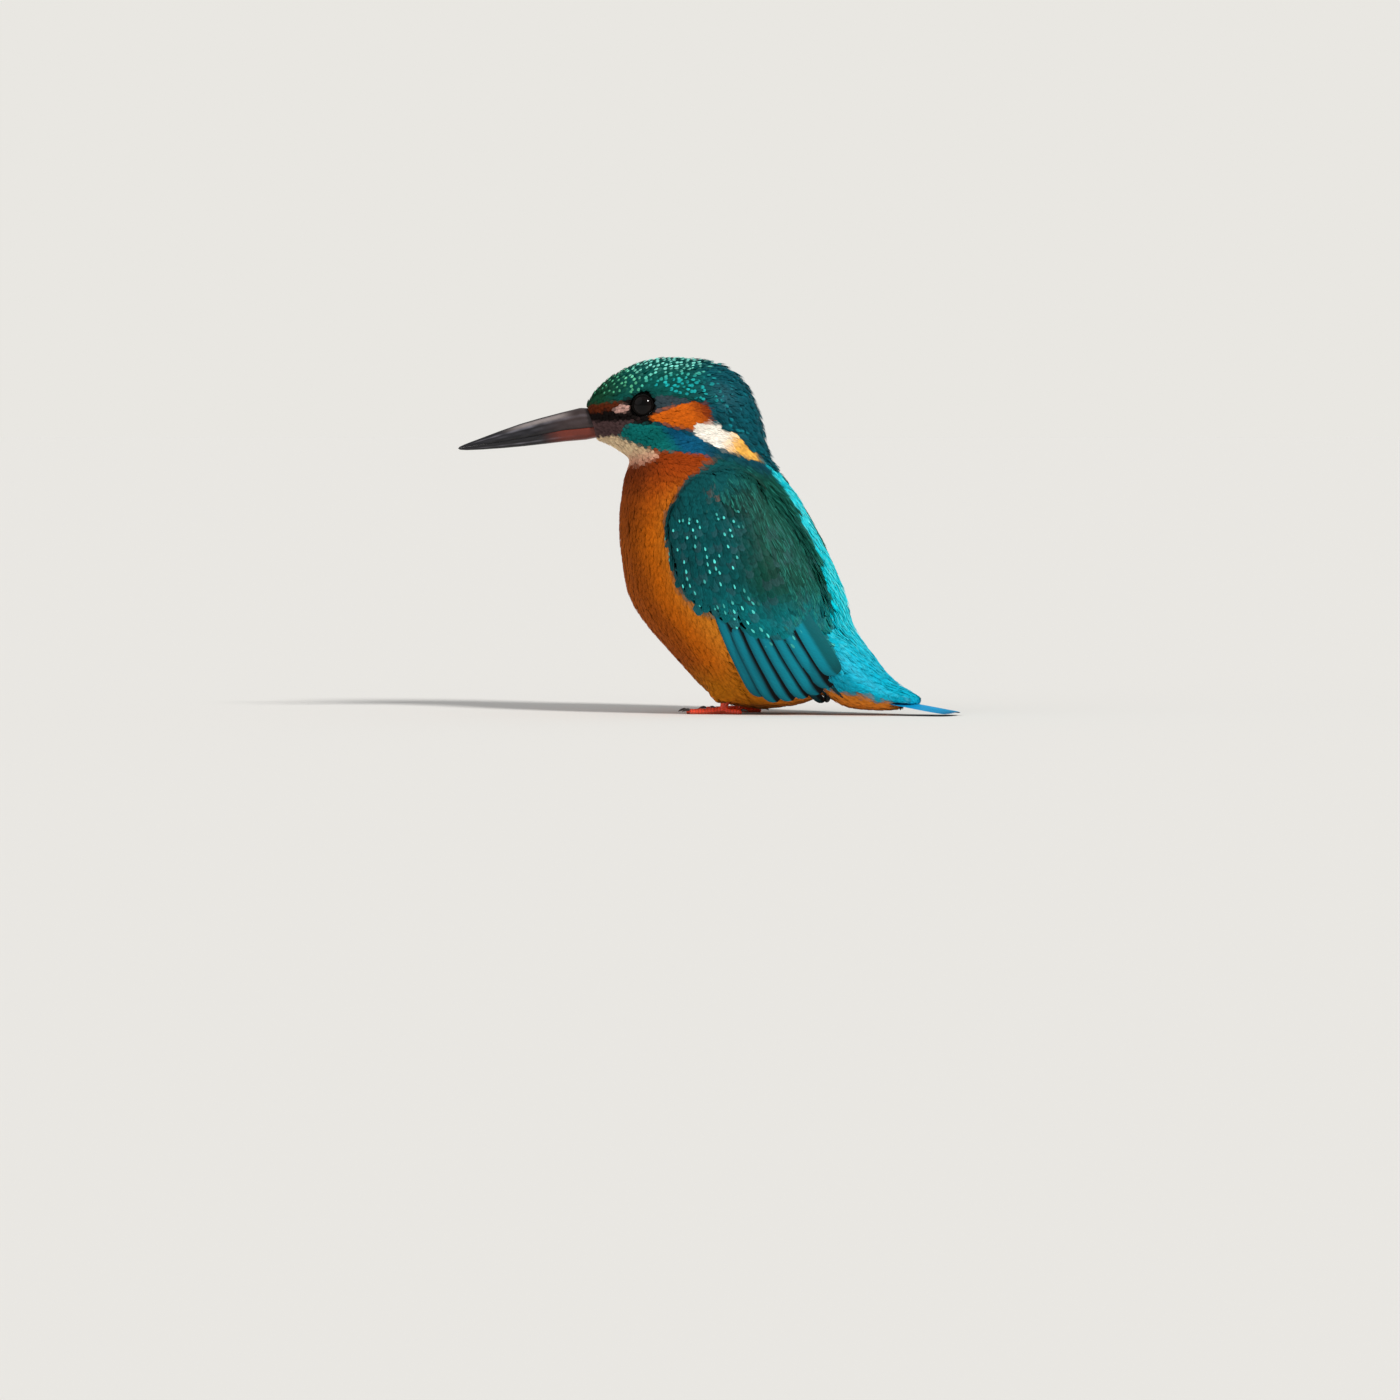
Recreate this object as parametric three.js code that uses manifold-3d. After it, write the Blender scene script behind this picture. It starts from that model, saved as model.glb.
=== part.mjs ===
// A common kingfisher standing upright on flat ground, at life size.
// Millimetres, +Z up. The bird faces -Y, its left side is towards +X, and its head is turned
// a little to its left. The origin is at the middle of its bounding box, on the ground.
import * as THREE from "three";
import { mergeVertices } from "three/addons/utils/BufferGeometryUtils.js";
import Module from "manifold-3d";

const wasm = await Module();
wasm.setup();

// ---- driving sizes ----
const gap = 0.3; // between neighbouring pieces
const wingGap = 0.45; // between the wings and the body, whose curved faces differ a little
const coarsening = 0.06; // faces flatter than this are merged
const headTurn = THREE.MathUtils.degToRad(18); // to the bird's left
const billDroop = THREE.MathUtils.degToRad(10.8); // below the horizon
const billBase = new THREE.Vector3(9.2, -34.9, 78.8);
const billLength = 36.5;
const billBuried = 6.5; // the share of the bill inside the face
const eyeRadius = 3.9;
const eyePlace = new THREE.Vector3(8.1, 16, 2.9); // out, back and up from the bill's base
const headNeckHeight = 69.5; // the level of the cut between head and neck
const neckTrunkHeight = 61.5; // and between neck and trunk
const plumageClearance = 0.8; // the lowest plumage stops this far above the ground
const wingReach = 40; // the outlines of the wings are extruded this far from the middle
const covertLift = 2.7; // how far each layer of the wing stands out from the body
const secondaryLift = 1.9;
const primaryLift = 1.5;
const secondaryCount = 7;
const primaryCount = 2;
const tailTipY = 68.5;
const tailLength = 36;
const tailHalfBase = 5;
const tailHalfTip = 7.6;
const tailTips = 6;
const tailThickness = 1.3;
const tailFlat = 0.2; // the depth of the flat where its tip rests
const tailSlope = THREE.MathUtils.degToRad(9.5);
const footSpread = 8; // of each foot from the middle plane
const ankleY = 3.6;
const toeHeight = 0.58; // of a toe's middle; the sole is flattened below it

const finish = (color, roughness) => new THREE.MeshStandardMaterial({ color, roughness });
const finishes = {
  crown: finish("#0b5a5c", 0.7),
  breast: finish("#c8690f", 0.85),
  wing: finish("#0d5f5f", 0.65),
  flight: finish("#087486", 0.6),
  tail: finish("#0a86b4", 0.6),
  bill: finish("#24262a", 0.35),
  eye: finish("#0a0605", 0.08),
  foot: finish("#e0522e", 0.55),
  claw: finish("#1c1513", 0.4),
};

// ---- making and joining ----

// A three.js geometry as a solid, with its shared corners merged.
function solidOf(geometry) {
  const bare = new THREE.BufferGeometry();
  bare.setAttribute("position", geometry.getAttribute("position").clone());
  bare.setIndex(geometry.index);
  const merged = mergeVertices(bare, 1e-4);
  return new wasm.Manifold(
    new wasm.Mesh({
      numProp: 3,
      vertProperties: new Float32Array(merged.getAttribute("position").array),
      triVerts: new Uint32Array(merged.index.array),
    }),
  );
}

const joined = (solids) => solids.reduce((whole, solid) => whole.add(solid));
const cutBy = (solid, ...tools) => tools.reduce((rest, tool) => rest.subtract(tool), solid);
const byVolume = (solid) => solid.decompose().sort((a, b) => b.volume() - a.volume());

// A solid as a named mesh. Only its largest body is kept, so a cut leaves no crumbs.
function meshOf(name, solid, material) {
  const { vertProperties, triVerts } = byVolume(solid)[0].simplify(coarsening).getMesh();
  const geometry = new THREE.BufferGeometry();
  geometry.setAttribute("position", new THREE.BufferAttribute(vertProperties, 3));
  geometry.setIndex(new THREE.BufferAttribute(triVerts, 1));
  geometry.computeVertexNormals();
  const mesh = new THREE.Mesh(geometry, material);
  mesh.name = name;
  return mesh;
}

// A closed round body along Y, with oval sections square to it. Each station is
// [y, z of the middle, half height, half width, x of the middle], and the end ones are points.
function loft(stations, rings, sides, grow = 0) {
  const rows = [...stations].sort((a, b) => a[0] - b[0]);
  const last = rows.length - 1;
  const middles = rows.map(
    ([y, z, , , x = 0], i) =>
      new THREE.Vector3(x, y + (i === last ? grow : i === 0 ? -grow : 0), z),
  );
  const halves = rows.map(([, , high, wide], i) =>
    new THREE.Vector3(wide, high, 0).addScalar(i % last === 0 ? 0 : grow),
  );
  const middleLine = new THREE.CatmullRomCurve3(middles);
  const halfLine = new THREE.CatmullRomCurve3(halves);
  const geometry = new THREE.SphereGeometry(1, sides, rings);
  const { position, uv } = geometry.attributes;
  for (let i = 0; i < position.count; i++) {
    const along = 1 - uv.getY(i);
    const middle = middleLine.getPoint(along);
    const half = halfLine.getPoint(along);
    const round = Math.hypot(position.getX(i), position.getZ(i)) || 1;
    const x = middle.x + (half.x * position.getX(i)) / round;
    const z = middle.z - (half.y * position.getZ(i)) / round;
    position.setXYZ(i, x, middle.y, z);
  }
  return geometry;
}

// The same body standing up: each station is [z, y of the middle, half depth, half width, x].
function uprightLoft(stations, rings, sides, grow = 0) {
  const rows = stations.map(([z, ...rest]) => [-z, ...rest]);
  return loft(rows, rings, sides, grow).rotateX(-Math.PI / 2);
}

// A flat outline extruded to a depth, in the plane of a matrix's first two axes.
function slab(outline, depth, matrix) {
  const shape = new THREE.Shape(outline.map(([x, y]) => new THREE.Vector2(x, y)));
  return new THREE.ExtrudeGeometry(shape, { depth, bevelEnabled: false }).applyMatrix4(matrix);
}

function smoothOutline(points, count) {
  const corners = points.map(([x, y]) => new THREE.Vector3(x, y, 0));
  return new THREE.CatmullRomCurve3(corners, true)
    .getPoints(count)
    .slice(1)
    .map((p) => p.toArray());
}

// ---- head and bill: drawn facing -Y about the bill's base, then turned into place ----

const headPlace = new THREE.Matrix4()
  .makeTranslation(billBase)
  .multiply(new THREE.Matrix4().makeRotationZ(headTurn))
  .multiply(new THREE.Matrix4().makeRotationX(billDroop));

const headStations = [
  [-0.8, 1.2, 0, 0],
  [0.2, 1.4, 4.8, 4.4],
  [1.8, 1.6, 6.0, 5.5],
  [4.5, 2.0, 7.9, 7.2],
  [7.8, 1.4, 10.4, 8.8],
  [11.6, 0.2, 13.0, 10.2],
  [18, 0.4, 14.3, 11.9],
  [24, 0.0, 14.4, 13.0],
  [30.8, -1.4, 14.1, 13.5],
  [36, -2.5, 13.4, 13.2],
  [40.4, -4.0, 12.3, 12.0],
  [43.6, -6.0, 10.2, 9.8],
  [45.4, -8.6, 7.0, 6.8],
  [46.4, -11, 0, 0],
];
const billStations = [
  [-billLength, 0.75, 0, 0],
  [-36.1, 0.75, 0.4, 0.35],
  [-34.3, 0.75, 0.85, 0.7],
  [-30, 0.8, 1.55, 1.2],
  [-24.2, 0.95, 2.4, 1.8],
  [-18.5, 1.1, 3.1, 2.35],
  [-12.7, 1.15, 3.6, 2.8],
  [-7, 1.15, 4.0, 3.35],
  [-1.4, 1.0, 4.45, 4.0],
  [billBuried - 1, 0.2, 3.6, 3.9],
  [billBuried, 0, 0, 0],
];
// The line between the two halves of the bill, from beyond its tip back to the gape.
const mouthLine = [
  [-billLength - 1, 0.85],
  [-19, 0.3],
  [-7, 0.35],
  [3, -0.55],
  [billBuried + 1, -1.0],
];

function billHalves() {
  const width = 16;
  const sideways = new THREE.Matrix4()
    .makeBasis(new THREE.Vector3(0, 1, 0), new THREE.Vector3(0, 0, 1), new THREE.Vector3(1, 0, 0))
    .setPosition(-width / 2, 0, 0);
  const lowerLip = mouthLine.map(([y, z]) => [y, z - gap]).reverse();
  const air = solidOf(slab([...mouthLine, ...lowerLip], width, sideways));
  const halves = byVolume(solidOf(loft(billStations, 12, 12)).subtract(air)).slice(0, 2);
  return halves.sort((a, b) => b.boundingBox().max[2] - a.boundingBox().max[2]);
}

const eyeball = (grow, sides, rings) =>
  new THREE.SphereGeometry(eyeRadius + grow, sides, rings).rotateZ(Math.PI / 2);
const eyeRoom = (side) =>
  solidOf(
    eyeball(gap, 12, 8)
      .translate(eyePlace.x * side, eyePlace.y, eyePlace.z)
      .applyMatrix4(headPlace),
  );

// ---- body, with the head joined on ----

const bodyStations = [
  [84, -4, 0, 0],
  [81, -4, 11, 8.4],
  [77, -4.6, 15.6, 11.8],
  [72.4, -5.9, 18.2, 14.6],
  [67.5, -5.4, 20.4, 17.0],
  [62, -3.7, 24.1, 19.6],
  [56, -2.2, 26.1, 21.6],
  [48, 0, 28.2, 23.2],
  [40, 2.6, 29.8, 23.8],
  [33, 4.8, 30.7, 23.6],
  [27, 7.2, 29.9, 22.8],
  [21, 10.0, 27.6, 21.0],
  [15, 12.5, 24.4, 18.4],
  [9.5, 13.8, 20.6, 15.4],
  [5.6, 13.6, 16.4, 12.4],
  [2.8, 12.8, 10.6, 8.6],
  [1.4, 12.5, 0, 0],
];
const rumpStations = [
  [27, 18, 0, 0],
  [30, 17.2, 10.6, 11.6],
  [35, 15, 12.4, 13.0],
  [39, 11.8, 10.2, 12.4],
  [44, 8.1, 6.7, 10.8],
  [49, 5.4, 4.0, 8.6],
  [53, 4.5, 2.5, 7.0],
  [56, 4.0, 1.4, 5.2],
  [57.5, 3.8, 0, 0],
];
const bodyRoom = solidOf(uprightLoft(bodyStations, 18, 22, wingGap)).add(
  solidOf(loft(rumpStations, 9, 14, wingGap)),
);
const plumage = solidOf(uprightLoft(bodyStations, 18, 22)).add(
  solidOf(loft(rumpStations, 9, 14)),
);

// ---- tail: a narrow fan with a round tip for each feather, laid down to the ground ----

function tailOutline(grow) {
  const base = -tailLength - 1.5 * grow;
  const halfTip = tailHalfTip + grow;
  const tipWidth = (2 * halfTip) / tailTips;
  const points = [
    [-tailHalfBase - grow, base],
    [tailHalfBase + grow, base],
  ];
  for (let i = 0; i < tailTips; i++) {
    const middle = halfTip - tipWidth * (i + 0.5);
    const set = grow - 0.045 * middle ** 2; // the outer feathers are shorter
    for (const turn of [0.1, 0.5, 0.9].map((share) => share * Math.PI))
      points.push([
        middle + (tipWidth / 2) * Math.cos(turn),
        set - (tipWidth / 2) * (1 - Math.sin(turn)),
      ]);
  }
  return points;
}

function tailSolid(grow) {
  const place = new THREE.Matrix4()
    .makeTranslation(0, tailTipY, -tailFlat - grow)
    .multiply(new THREE.Matrix4().makeRotationX(-tailSlope));
  const outline = tailOutline(grow);
  return solidOf(slab(outline, tailThickness + 2 * grow, place)).trimByPlane([0, 0, 1], 0);
}

// ---- folded wings: the body's own shape moved outwards, and cut to each layer's outline ----

// The outlines are drawn on an upright plane, as seen from the left and a little behind.
const wingPlane = new THREE.Matrix4().makeBasis(
  new THREE.Vector3(-Math.sin(headTurn), Math.cos(headTurn), 0),
  new THREE.Vector3(0, 0, 1),
  new THREE.Vector3(Math.cos(headTurn), Math.sin(headTurn), 0),
);
const covertOutline = smoothOutline(
  [
    [-8.4, 64],
    [-14.8, 54.5],
    [-12.2, 40],
    [-6.6, 31.5],
    [10, 23.2],
    [24.5, 17.4],
    [30.6, 24],
    [29.4, 35],
    [23.4, 50],
    [15, 61.5],
    [3, 68],
  ],
  24,
);
const quillRows = {
  secondary: {
    roots: new THREE.QuadraticBezierCurve3(
      new THREE.Vector3(-9.4, 36, 0),
      new THREE.Vector3(6, 25, 0),
      new THREE.Vector3(26.6, 19.5, 0),
    ),
    tips: new THREE.CubicBezierCurve3(
      new THREE.Vector3(8.6, 8.4, 0),
      new THREE.Vector3(14, 0.6, 0),
      new THREE.Vector3(24, 4, 0),
      new THREE.Vector3(31.2, 12.6, 0),
    ),
    halfBreadth: 3.1,
  },
  primary: {
    roots: new THREE.LineCurve3(new THREE.Vector3(16, 12, 0), new THREE.Vector3(20, 14, 0)),
    tips: new THREE.LineCurve3(new THREE.Vector3(31, 2.8, 0), new THREE.Vector3(36, 4.2, 0)),
    halfBreadth: 2.2,
  },
};

// One quill's blade from its root to its round tip.
function quillOutline(root, tip, halfBreadth) {
  const run = tip.clone().sub(root);
  const length = run.length();
  const ahead = run.normalize();
  const aside = new THREE.Vector3(-ahead.y, ahead.x, 0);
  const edge = [
    [-2, 1],
    [length - 1.2 * halfBreadth, 1],
    [length - 0.4 * halfBreadth, 0.74],
    [length, 0.2],
  ];
  const corner = (sign) => ([along, share]) =>
    root
      .clone()
      .addScaledVector(ahead, along)
      .addScaledVector(aside, sign * share * halfBreadth)
      .toArray();
  return [...edge.map(corner(-1)), ...edge.reverse().map(corner(1))];
}

function wingLayer(outline, lift) {
  return plumage
    .translate([lift * 0.84, lift * 0.42, lift * 0.3])
    .intersect(solidOf(slab(outline, wingReach, wingPlane)))
    .subtract(bodyRoom)
    .trimByPlane([0, 0, 1], plumageClearance);
}

function quillLayer({ roots, tips, halfBreadth }, count, lift) {
  const blades = [];
  for (let i = 0; i < count; i++) {
    const share = i / (count - 1);
    const outline = quillOutline(roots.getPoint(share), tips.getPoint(share), halfBreadth);
    blades.push(wingLayer(outline, lift + 0.12 * (i % 2)));
  }
  return joined(blades);
}

function foldedWing() {
  const covertPrism = solidOf(slab(covertOutline, wingReach, wingPlane));
  const covertRoom = covertPrism.add(covertPrism.translate([0, -gap, -gap]));
  const coverts = wingLayer(covertOutline, covertLift);
  const allSecondaries = quillLayer(quillRows.secondary, secondaryCount, secondaryLift);
  const secondaries = allSecondaries.subtract(covertRoom);
  const secondaryRoom = joined([
    allSecondaries,
    allSecondaries.translate([gap, 0, -gap]),
    allSecondaries.translate([-gap, 0, -gap]),
    allSecondaries.translate([0, gap, 0]),
  ]);
  const primaries = quillLayer(quillRows.primary, primaryCount, primaryLift);
  return { coverts, secondaries, primaries: cutBy(primaries, covertRoom, secondaryRoom) };
}

// ---- legs: three toes forward, the middle and outer ones joined at the base, and one back ----

const toes = {
  middle: { angle: 3, length: 10.6, radius: 1.12, claw: 3.2 },
  outer: { angle: 17, length: 9.4, radius: 1.02, claw: 2.8 },
  inner: { angle: -15, length: 7.4, radius: 1.0, claw: 2.6 },
  hind: { angle: 172, length: 5.6, radius: 1.05, claw: 3.0 },
};
const toePads = 3;
const thighStations = [
  [13, 4.6, 0, 0, footSpread],
  [9, 4.4, 5.6, 5.2, footSpread],
  [5.4, 4.2, 4.6, 4.4, footSpread],
  [3.2, 4.0, 2.4, 2.3, footSpread],
  [2.6, 4.0, 0, 0, footSpread],
];
const tarsusStations = [
  [10, 5.8, 0, 0, footSpread],
  [9.4, 5.7, 1.0, 0.95, footSpread],
  [5.6, 4.8, 1.0, 0.95, footSpread],
  [2.4, ankleY + 0.2, 1.3, 1.2, footSpread],
  [1.6, ankleY, 0, 0, footSpread],
];

const toePlace = ({ angle }) =>
  new THREE.Matrix4()
    .makeRotationZ(THREE.MathUtils.degToRad(angle))
    .setPosition(footSpread, ankleY, 0);

function toeSolid(toe, grow) {
  const stations = [[1.2, 1.4, 0, 0]];
  for (let i = 0; i <= 2 * toePads; i++) {
    const share = i / (2 * toePads);
    const swell = i % 2 ? 0.86 : 1.04; // pads between narrower joints
    const radius = toe.radius * swell * (1 - 0.22 * share);
    stations.push([-share * (toe.length - 0.5), toeHeight + 0.6 * (1 - share) ** 3, radius, radius]);
  }
  stations.push([-toe.length, toeHeight, 0, 0]);
  return solidOf(loft(stations, 8, 6, grow).applyMatrix4(toePlace(toe)));
}

function clawSolid(toe) {
  const stations = [0, 0.3, 0.6, 0.85, 1].map((share) => {
    const radius = share % 1 === 0 ? 0 : 0.62 * (1 - share) ** 0.55;
    const arch = 0.55 * Math.sin(0.8 * Math.PI * share) - 0.75 * share ** 2;
    return [0.7 - toe.length - share * toe.claw, toeHeight + 0.35 + arch, radius, 0.8 * radius];
  });
  return solidOf(loft(stations, 6, 6).applyMatrix4(toePlace(toe)));
}

function leg() {
  const footRoom = joined(Object.values(toes).map((toe) => toeSolid(toe, gap)));
  const foot = joined(Object.values(toes).map((toe) => toeSolid(toe, 0)));
  const tarsus = solidOf(uprightLoft(tarsusStations, 6, 8));
  const tarsusRoom = solidOf(uprightLoft(tarsusStations, 6, 8, gap));
  const thigh = solidOf(uprightLoft(thighStations, 7, 12));
  return {
    room: joined([footRoom, tarsusRoom]),
    thigh: cutBy(thigh, bodyRoom, tarsusRoom, footRoom).trimByPlane([0, 0, 1], plumageClearance),
    tarsus: cutBy(tarsus, footRoom),
    foot: foot.trimByPlane([0, 0, 1], 0),
    claws: Object.entries(toes).map(([name, toe]) => [
      `claw_${name}`,
      clawSolid(toe).subtract(footRoom).trimByPlane([0, 0, 1], 0),
    ]),
  };
}

// ---- the bird ----

const bird = new THREE.Group();

function addHeadPieces() {
  const turned = new THREE.Group();
  turned.applyMatrix4(headPlace);
  const [upper, lower] = billHalves();
  turned.add(meshOf("bill_upper", upper, finishes.bill));
  turned.add(meshOf("bill_lower", lower, finishes.bill));
  for (const [name, side] of Object.entries({ eye_left: 1, eye_right: -1 })) {
    const eye = new THREE.Mesh(eyeball(0, 14, 9), finishes.eye);
    eye.name = name;
    eye.position.set(eyePlace.x * side, eyePlace.y, eyePlace.z);
    turned.add(eye);
  }
  bird.add(turned);
}

function addBody(legRoom) {
  const skull = solidOf(loft(headStations, 16, 20).applyMatrix4(headPlace));
  const billRoom = solidOf(loft(billStations, 12, 12, gap).applyMatrix4(headPlace));
  const flesh = cutBy(
    skull.add(plumage).trimByPlane([0, 0, 1], plumageClearance),
    eyeRoom(1),
    eyeRoom(-1),
    billRoom,
    tailSolid(gap),
    legRoom,
    legRoom.mirror([1, 0, 0]),
  );
  const above = (solid, height) => solid.trimByPlane([0, 0, 1], height + gap / 2);
  const below = (solid, height) => solid.trimByPlane([0, 0, -1], gap / 2 - height);
  const rumpNormal = new THREE.Vector3(0, 1, -0.75).normalize();
  const rumpDistance = 13.6;
  const lower = below(flesh, neckTrunkHeight);
  const trunk = lower.trimByPlane(
    rumpNormal.clone().negate().toArray(),
    gap / 2 - rumpDistance,
  );
  const rump = lower.trimByPlane(rumpNormal.toArray(), rumpDistance + gap / 2);
  bird.add(meshOf("head", above(flesh, headNeckHeight), finishes.crown));
  const neck = below(above(flesh, neckTrunkHeight), headNeckHeight);
  bird.add(meshOf("neck", neck, finishes.breast));
  bird.add(meshOf("trunk", trunk, finishes.breast));
  bird.add(meshOf("rump", rump, finishes.tail));
  bird.add(meshOf("tail", tailSolid(0), finishes.tail));
}

function addPair(name, solid, material) {
  const left = meshOf(`${name}_left`, solid, material);
  const right = left.clone();
  right.name = `${name}_right`;
  right.scale.x = -1;
  bird.add(left, right);
}

const { coverts, secondaries, primaries } = foldedWing();
const { room, thigh, tarsus, foot, claws } = leg();
addHeadPieces();
addBody(room);
addPair("wing_coverts", coverts, finishes.wing);
addPair("wing_secondaries", secondaries, finishes.flight);
addPair("wing_primaries", primaries, finishes.flight);
addPair("thigh", thigh, finishes.breast);
addPair("tarsus", tarsus, finishes.foot);
addPair("foot", foot, finishes.foot);
for (const [name, claw] of claws) addPair(name, claw, finishes.claw);

const box = new THREE.Box3().setFromObject(bird, true);
const middle = box.getCenter(new THREE.Vector3());
bird.position.set(-middle.x, -middle.y, -box.min.z);

export default bird;
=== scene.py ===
import math
import bmesh
import bpy
import numpy as np
from mathutils import Matrix, Vector
from mathutils.bvhtree import BVHTree


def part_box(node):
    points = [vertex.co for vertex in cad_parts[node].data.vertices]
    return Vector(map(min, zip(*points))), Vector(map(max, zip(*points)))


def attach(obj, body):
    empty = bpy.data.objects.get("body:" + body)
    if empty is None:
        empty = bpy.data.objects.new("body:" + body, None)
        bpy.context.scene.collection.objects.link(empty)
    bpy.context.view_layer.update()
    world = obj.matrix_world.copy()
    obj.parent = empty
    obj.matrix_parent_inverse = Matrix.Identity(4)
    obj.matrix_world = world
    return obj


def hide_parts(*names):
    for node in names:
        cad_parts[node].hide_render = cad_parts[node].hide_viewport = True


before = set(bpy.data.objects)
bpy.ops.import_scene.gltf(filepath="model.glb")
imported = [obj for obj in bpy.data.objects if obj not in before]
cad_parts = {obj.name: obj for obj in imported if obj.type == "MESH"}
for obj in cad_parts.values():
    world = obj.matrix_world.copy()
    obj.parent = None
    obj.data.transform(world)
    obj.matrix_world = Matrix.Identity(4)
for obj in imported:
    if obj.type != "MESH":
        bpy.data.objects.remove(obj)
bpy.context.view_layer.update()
chance = np.random.default_rng(41)

# Shapes are worked out in millimetres and brought down to metres as each piece is finished.
metre = 0.001
perMetre = 1000

# Where the head sits on the neck, as in the solids: bill base, turn to the bird's left and droop.
headPose = {"base": (9.2, -34.68, 78.8), "turn": 18.0, "droop": 10.8}

# The side of the bird is seen from here, so wing feathers are set out in this plane.
viewTurn = math.radians(18.0)
sideOut = np.array([math.cos(viewTurn), math.sin(viewTurn), 0.0])


def headMatrix():
    turn = Matrix.Rotation(math.radians(headPose["turn"]), 4, "Z")
    droop = Matrix.Rotation(math.radians(headPose["droop"]), 4, "X")
    return Matrix.Translation(headPose["base"]) @ turn @ droop


headPlace = np.array(headMatrix())
headBack = np.array(headMatrix().inverted())


def fromHead(points):
    return np.asarray(points, float) @ headPlace[:3, :3].T + headPlace[:3, 3]


def toHead(points):
    return np.asarray(points, float) @ headBack[:3, :3].T + headBack[:3, 3]


def linear(code):
    # a hex colour as the shader's linear light
    parts = np.array([int(code[i:i + 2], 16) / 255 for i in (1, 3, 5)])
    return np.where(parts <= 0.04045, parts / 12.92, ((parts + 0.055) / 1.055) ** 2.4)


def smooth(low, high, value):
    t = np.clip((value - low) / (high - low), 0, 1)
    return t * t * (3 - 2 * t)


def unit(vectors):
    size = np.linalg.norm(vectors, axis=-1, keepdims=True)
    return vectors / np.maximum(size, 1e-9)


def repeated(row, count):
    return np.tile(row, (count, 1))


def mix(first, second, share):
    share = np.asarray(share)[..., None]
    return first * (1 - share) + second * share


def inside(outline, across, up, soft):
    # 1 inside the outline, 0 outside, with an edge as wide as soft
    corners = np.array(outline, float)
    ends = np.roll(corners, -1, axis=0)
    nearest = np.full(len(across), 1e9)
    odd = np.zeros(len(across), bool)
    for (ax, ay), (bx, by) in zip(corners, ends):
        dx, dy = bx - ax, by - ay
        t = np.clip(((across - ax) * dx + (up - ay) * dy) / (dx * dx + dy * dy), 0, 1)
        nearest = np.minimum(nearest, np.hypot(across - ax - t * dx, up - ay - t * dy))
        crosses = (ay > up) != (by > up)
        with np.errstate(divide="ignore", invalid="ignore"):
            odd ^= crosses & (across < ax + (up - ay) * dx / (dy if dy else 1e-9))
    signed = np.where(odd, nearest, -nearest)
    return smooth(-soft / 2, soft / 2, signed)


def startMaterial(name):
    material = bpy.data.materials.new(name)
    material.use_nodes = True
    nodes = material.node_tree.nodes
    return material, nodes, material.node_tree.links, nodes["Principled BSDF"]


def setInputs(node, values):
    for key, value in values.items():
        node.inputs[key].default_value = value


def addNode(nodes, kind, inputs=None, **values):
    node = nodes.new("ShaderNode" + kind)
    for key, value in values.items():
        setattr(node, key, value)
    setInputs(node, inputs or {})
    return node


def wire(links, *joints):
    for start, output, end, entry in joints:
        links.new(start.outputs[output], end.inputs[entry])


def mottledMaterial(name, grainPlan, finish):
    # colour painted on the vertices, broken up by a fine grain along each vane or through the piece
    material, nodes, links, shader = startMaterial(name)
    paint = addNode(nodes, "VertexColor", layer_name="plumage")
    if "barbs" in grainPlan:
        place = addNode(nodes, "UVMap", uv_map="vane")
        barbs = grainPlan["barbs"]
        stretch = addNode(nodes, "Mapping", {"Scale": (barbs, barbs * 0.35, 1)})
        grain = addNode(nodes, "TexNoise", {"Scale": 1.0, "Detail": 2.0}, noise_dimensions="2D")
        wire(links, (place, "UV", stretch, "Vector"), (stretch, "Vector", grain, "Vector"))
    else:
        place = addNode(nodes, "TexCoord")
        grain = addNode(nodes, "TexNoise", {"Scale": grainPlan["size"], "Detail": 3.0})
        wire(links, (place, "Object", grain, "Vector"))
    span = {"From Min": 0.3, "From Max": 0.7, "To Min": 1 - grainPlan["depth"],
            "To Max": 1 + grainPlan["depth"] * grainPlan["lighter"]}
    ramp = addNode(nodes, "MapRange", span)
    scale = addNode(nodes, "VectorMath", operation="SCALE")
    bump = addNode(nodes, "Bump", grainPlan["bump"])
    wire(links, (grain, "Fac", ramp, "Value"), (paint, "Color", scale, 0), (ramp, "Result", scale, "Scale"),
         (scale, "Vector", shader, "Base Color"), (grain, "Fac", bump, "Height"),
         (bump, "Normal", shader, "Normal"))
    setInputs(shader, finish)
    return material


def plumageMaterial(name, roughness, sheen, barbs, depth, specular):
    bump = {"Strength": 0.35, "Distance": 0.0001}
    finish = {"Roughness": roughness, "Sheen Weight": sheen, "Sheen Roughness": 0.4,
              "Specular IOR Level": specular}
    return mottledMaterial(name, {"barbs": barbs, "depth": depth, "lighter": 0.6, "bump": bump}, finish)


def surfaceMaterial(name, roughness, size, depth, bumpSize, specular, coat):
    bump = {"Strength": 0.5, "Distance": bumpSize}
    finish = {"Roughness": roughness, "Specular IOR Level": specular, "Coat Weight": coat,
              "Coat Roughness": 0.12}
    return mottledMaterial(name, {"size": size, "depth": depth, "lighter": 1, "bump": bump}, finish)


def placed(name, data):
    thing = bpy.data.objects.new(name, data)
    bpy.context.scene.collection.objects.link(thing)
    return thing


def finishPiece(name, mesh, material, replaced=()):
    piece = placed(name, mesh)
    piece.data.materials.append(material)
    if not mesh.has_custom_normals:
        mesh.polygons.foreach_set("use_smooth", [True] * len(mesh.polygons))
    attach(piece, "root")
    if replaced:
        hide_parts(*replaced)
    print(name + ":", len(mesh.polygons), "faces")
    return piece


def meshFromShape(name, shape, colours=None):
    # a bmesh in millimetres becomes a mesh in metres
    bmesh.ops.scale(shape, vec=(metre, metre, metre), verts=shape.verts)
    mesh = bpy.data.meshes.new(name)
    shape.to_mesh(mesh)
    shape.free()
    if colours is not None:
        paintMesh(mesh, colours)
    return mesh


def paintMesh(mesh, colours):
    full = np.ones((len(colours), 4))
    full[:, :3] = np.clip(colours, 0, 1)
    layer = mesh.color_attributes.new("plumage", "FLOAT_COLOR", "POINT")
    layer.data.foreach_set("color", full.astype(np.float32).ravel())


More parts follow.
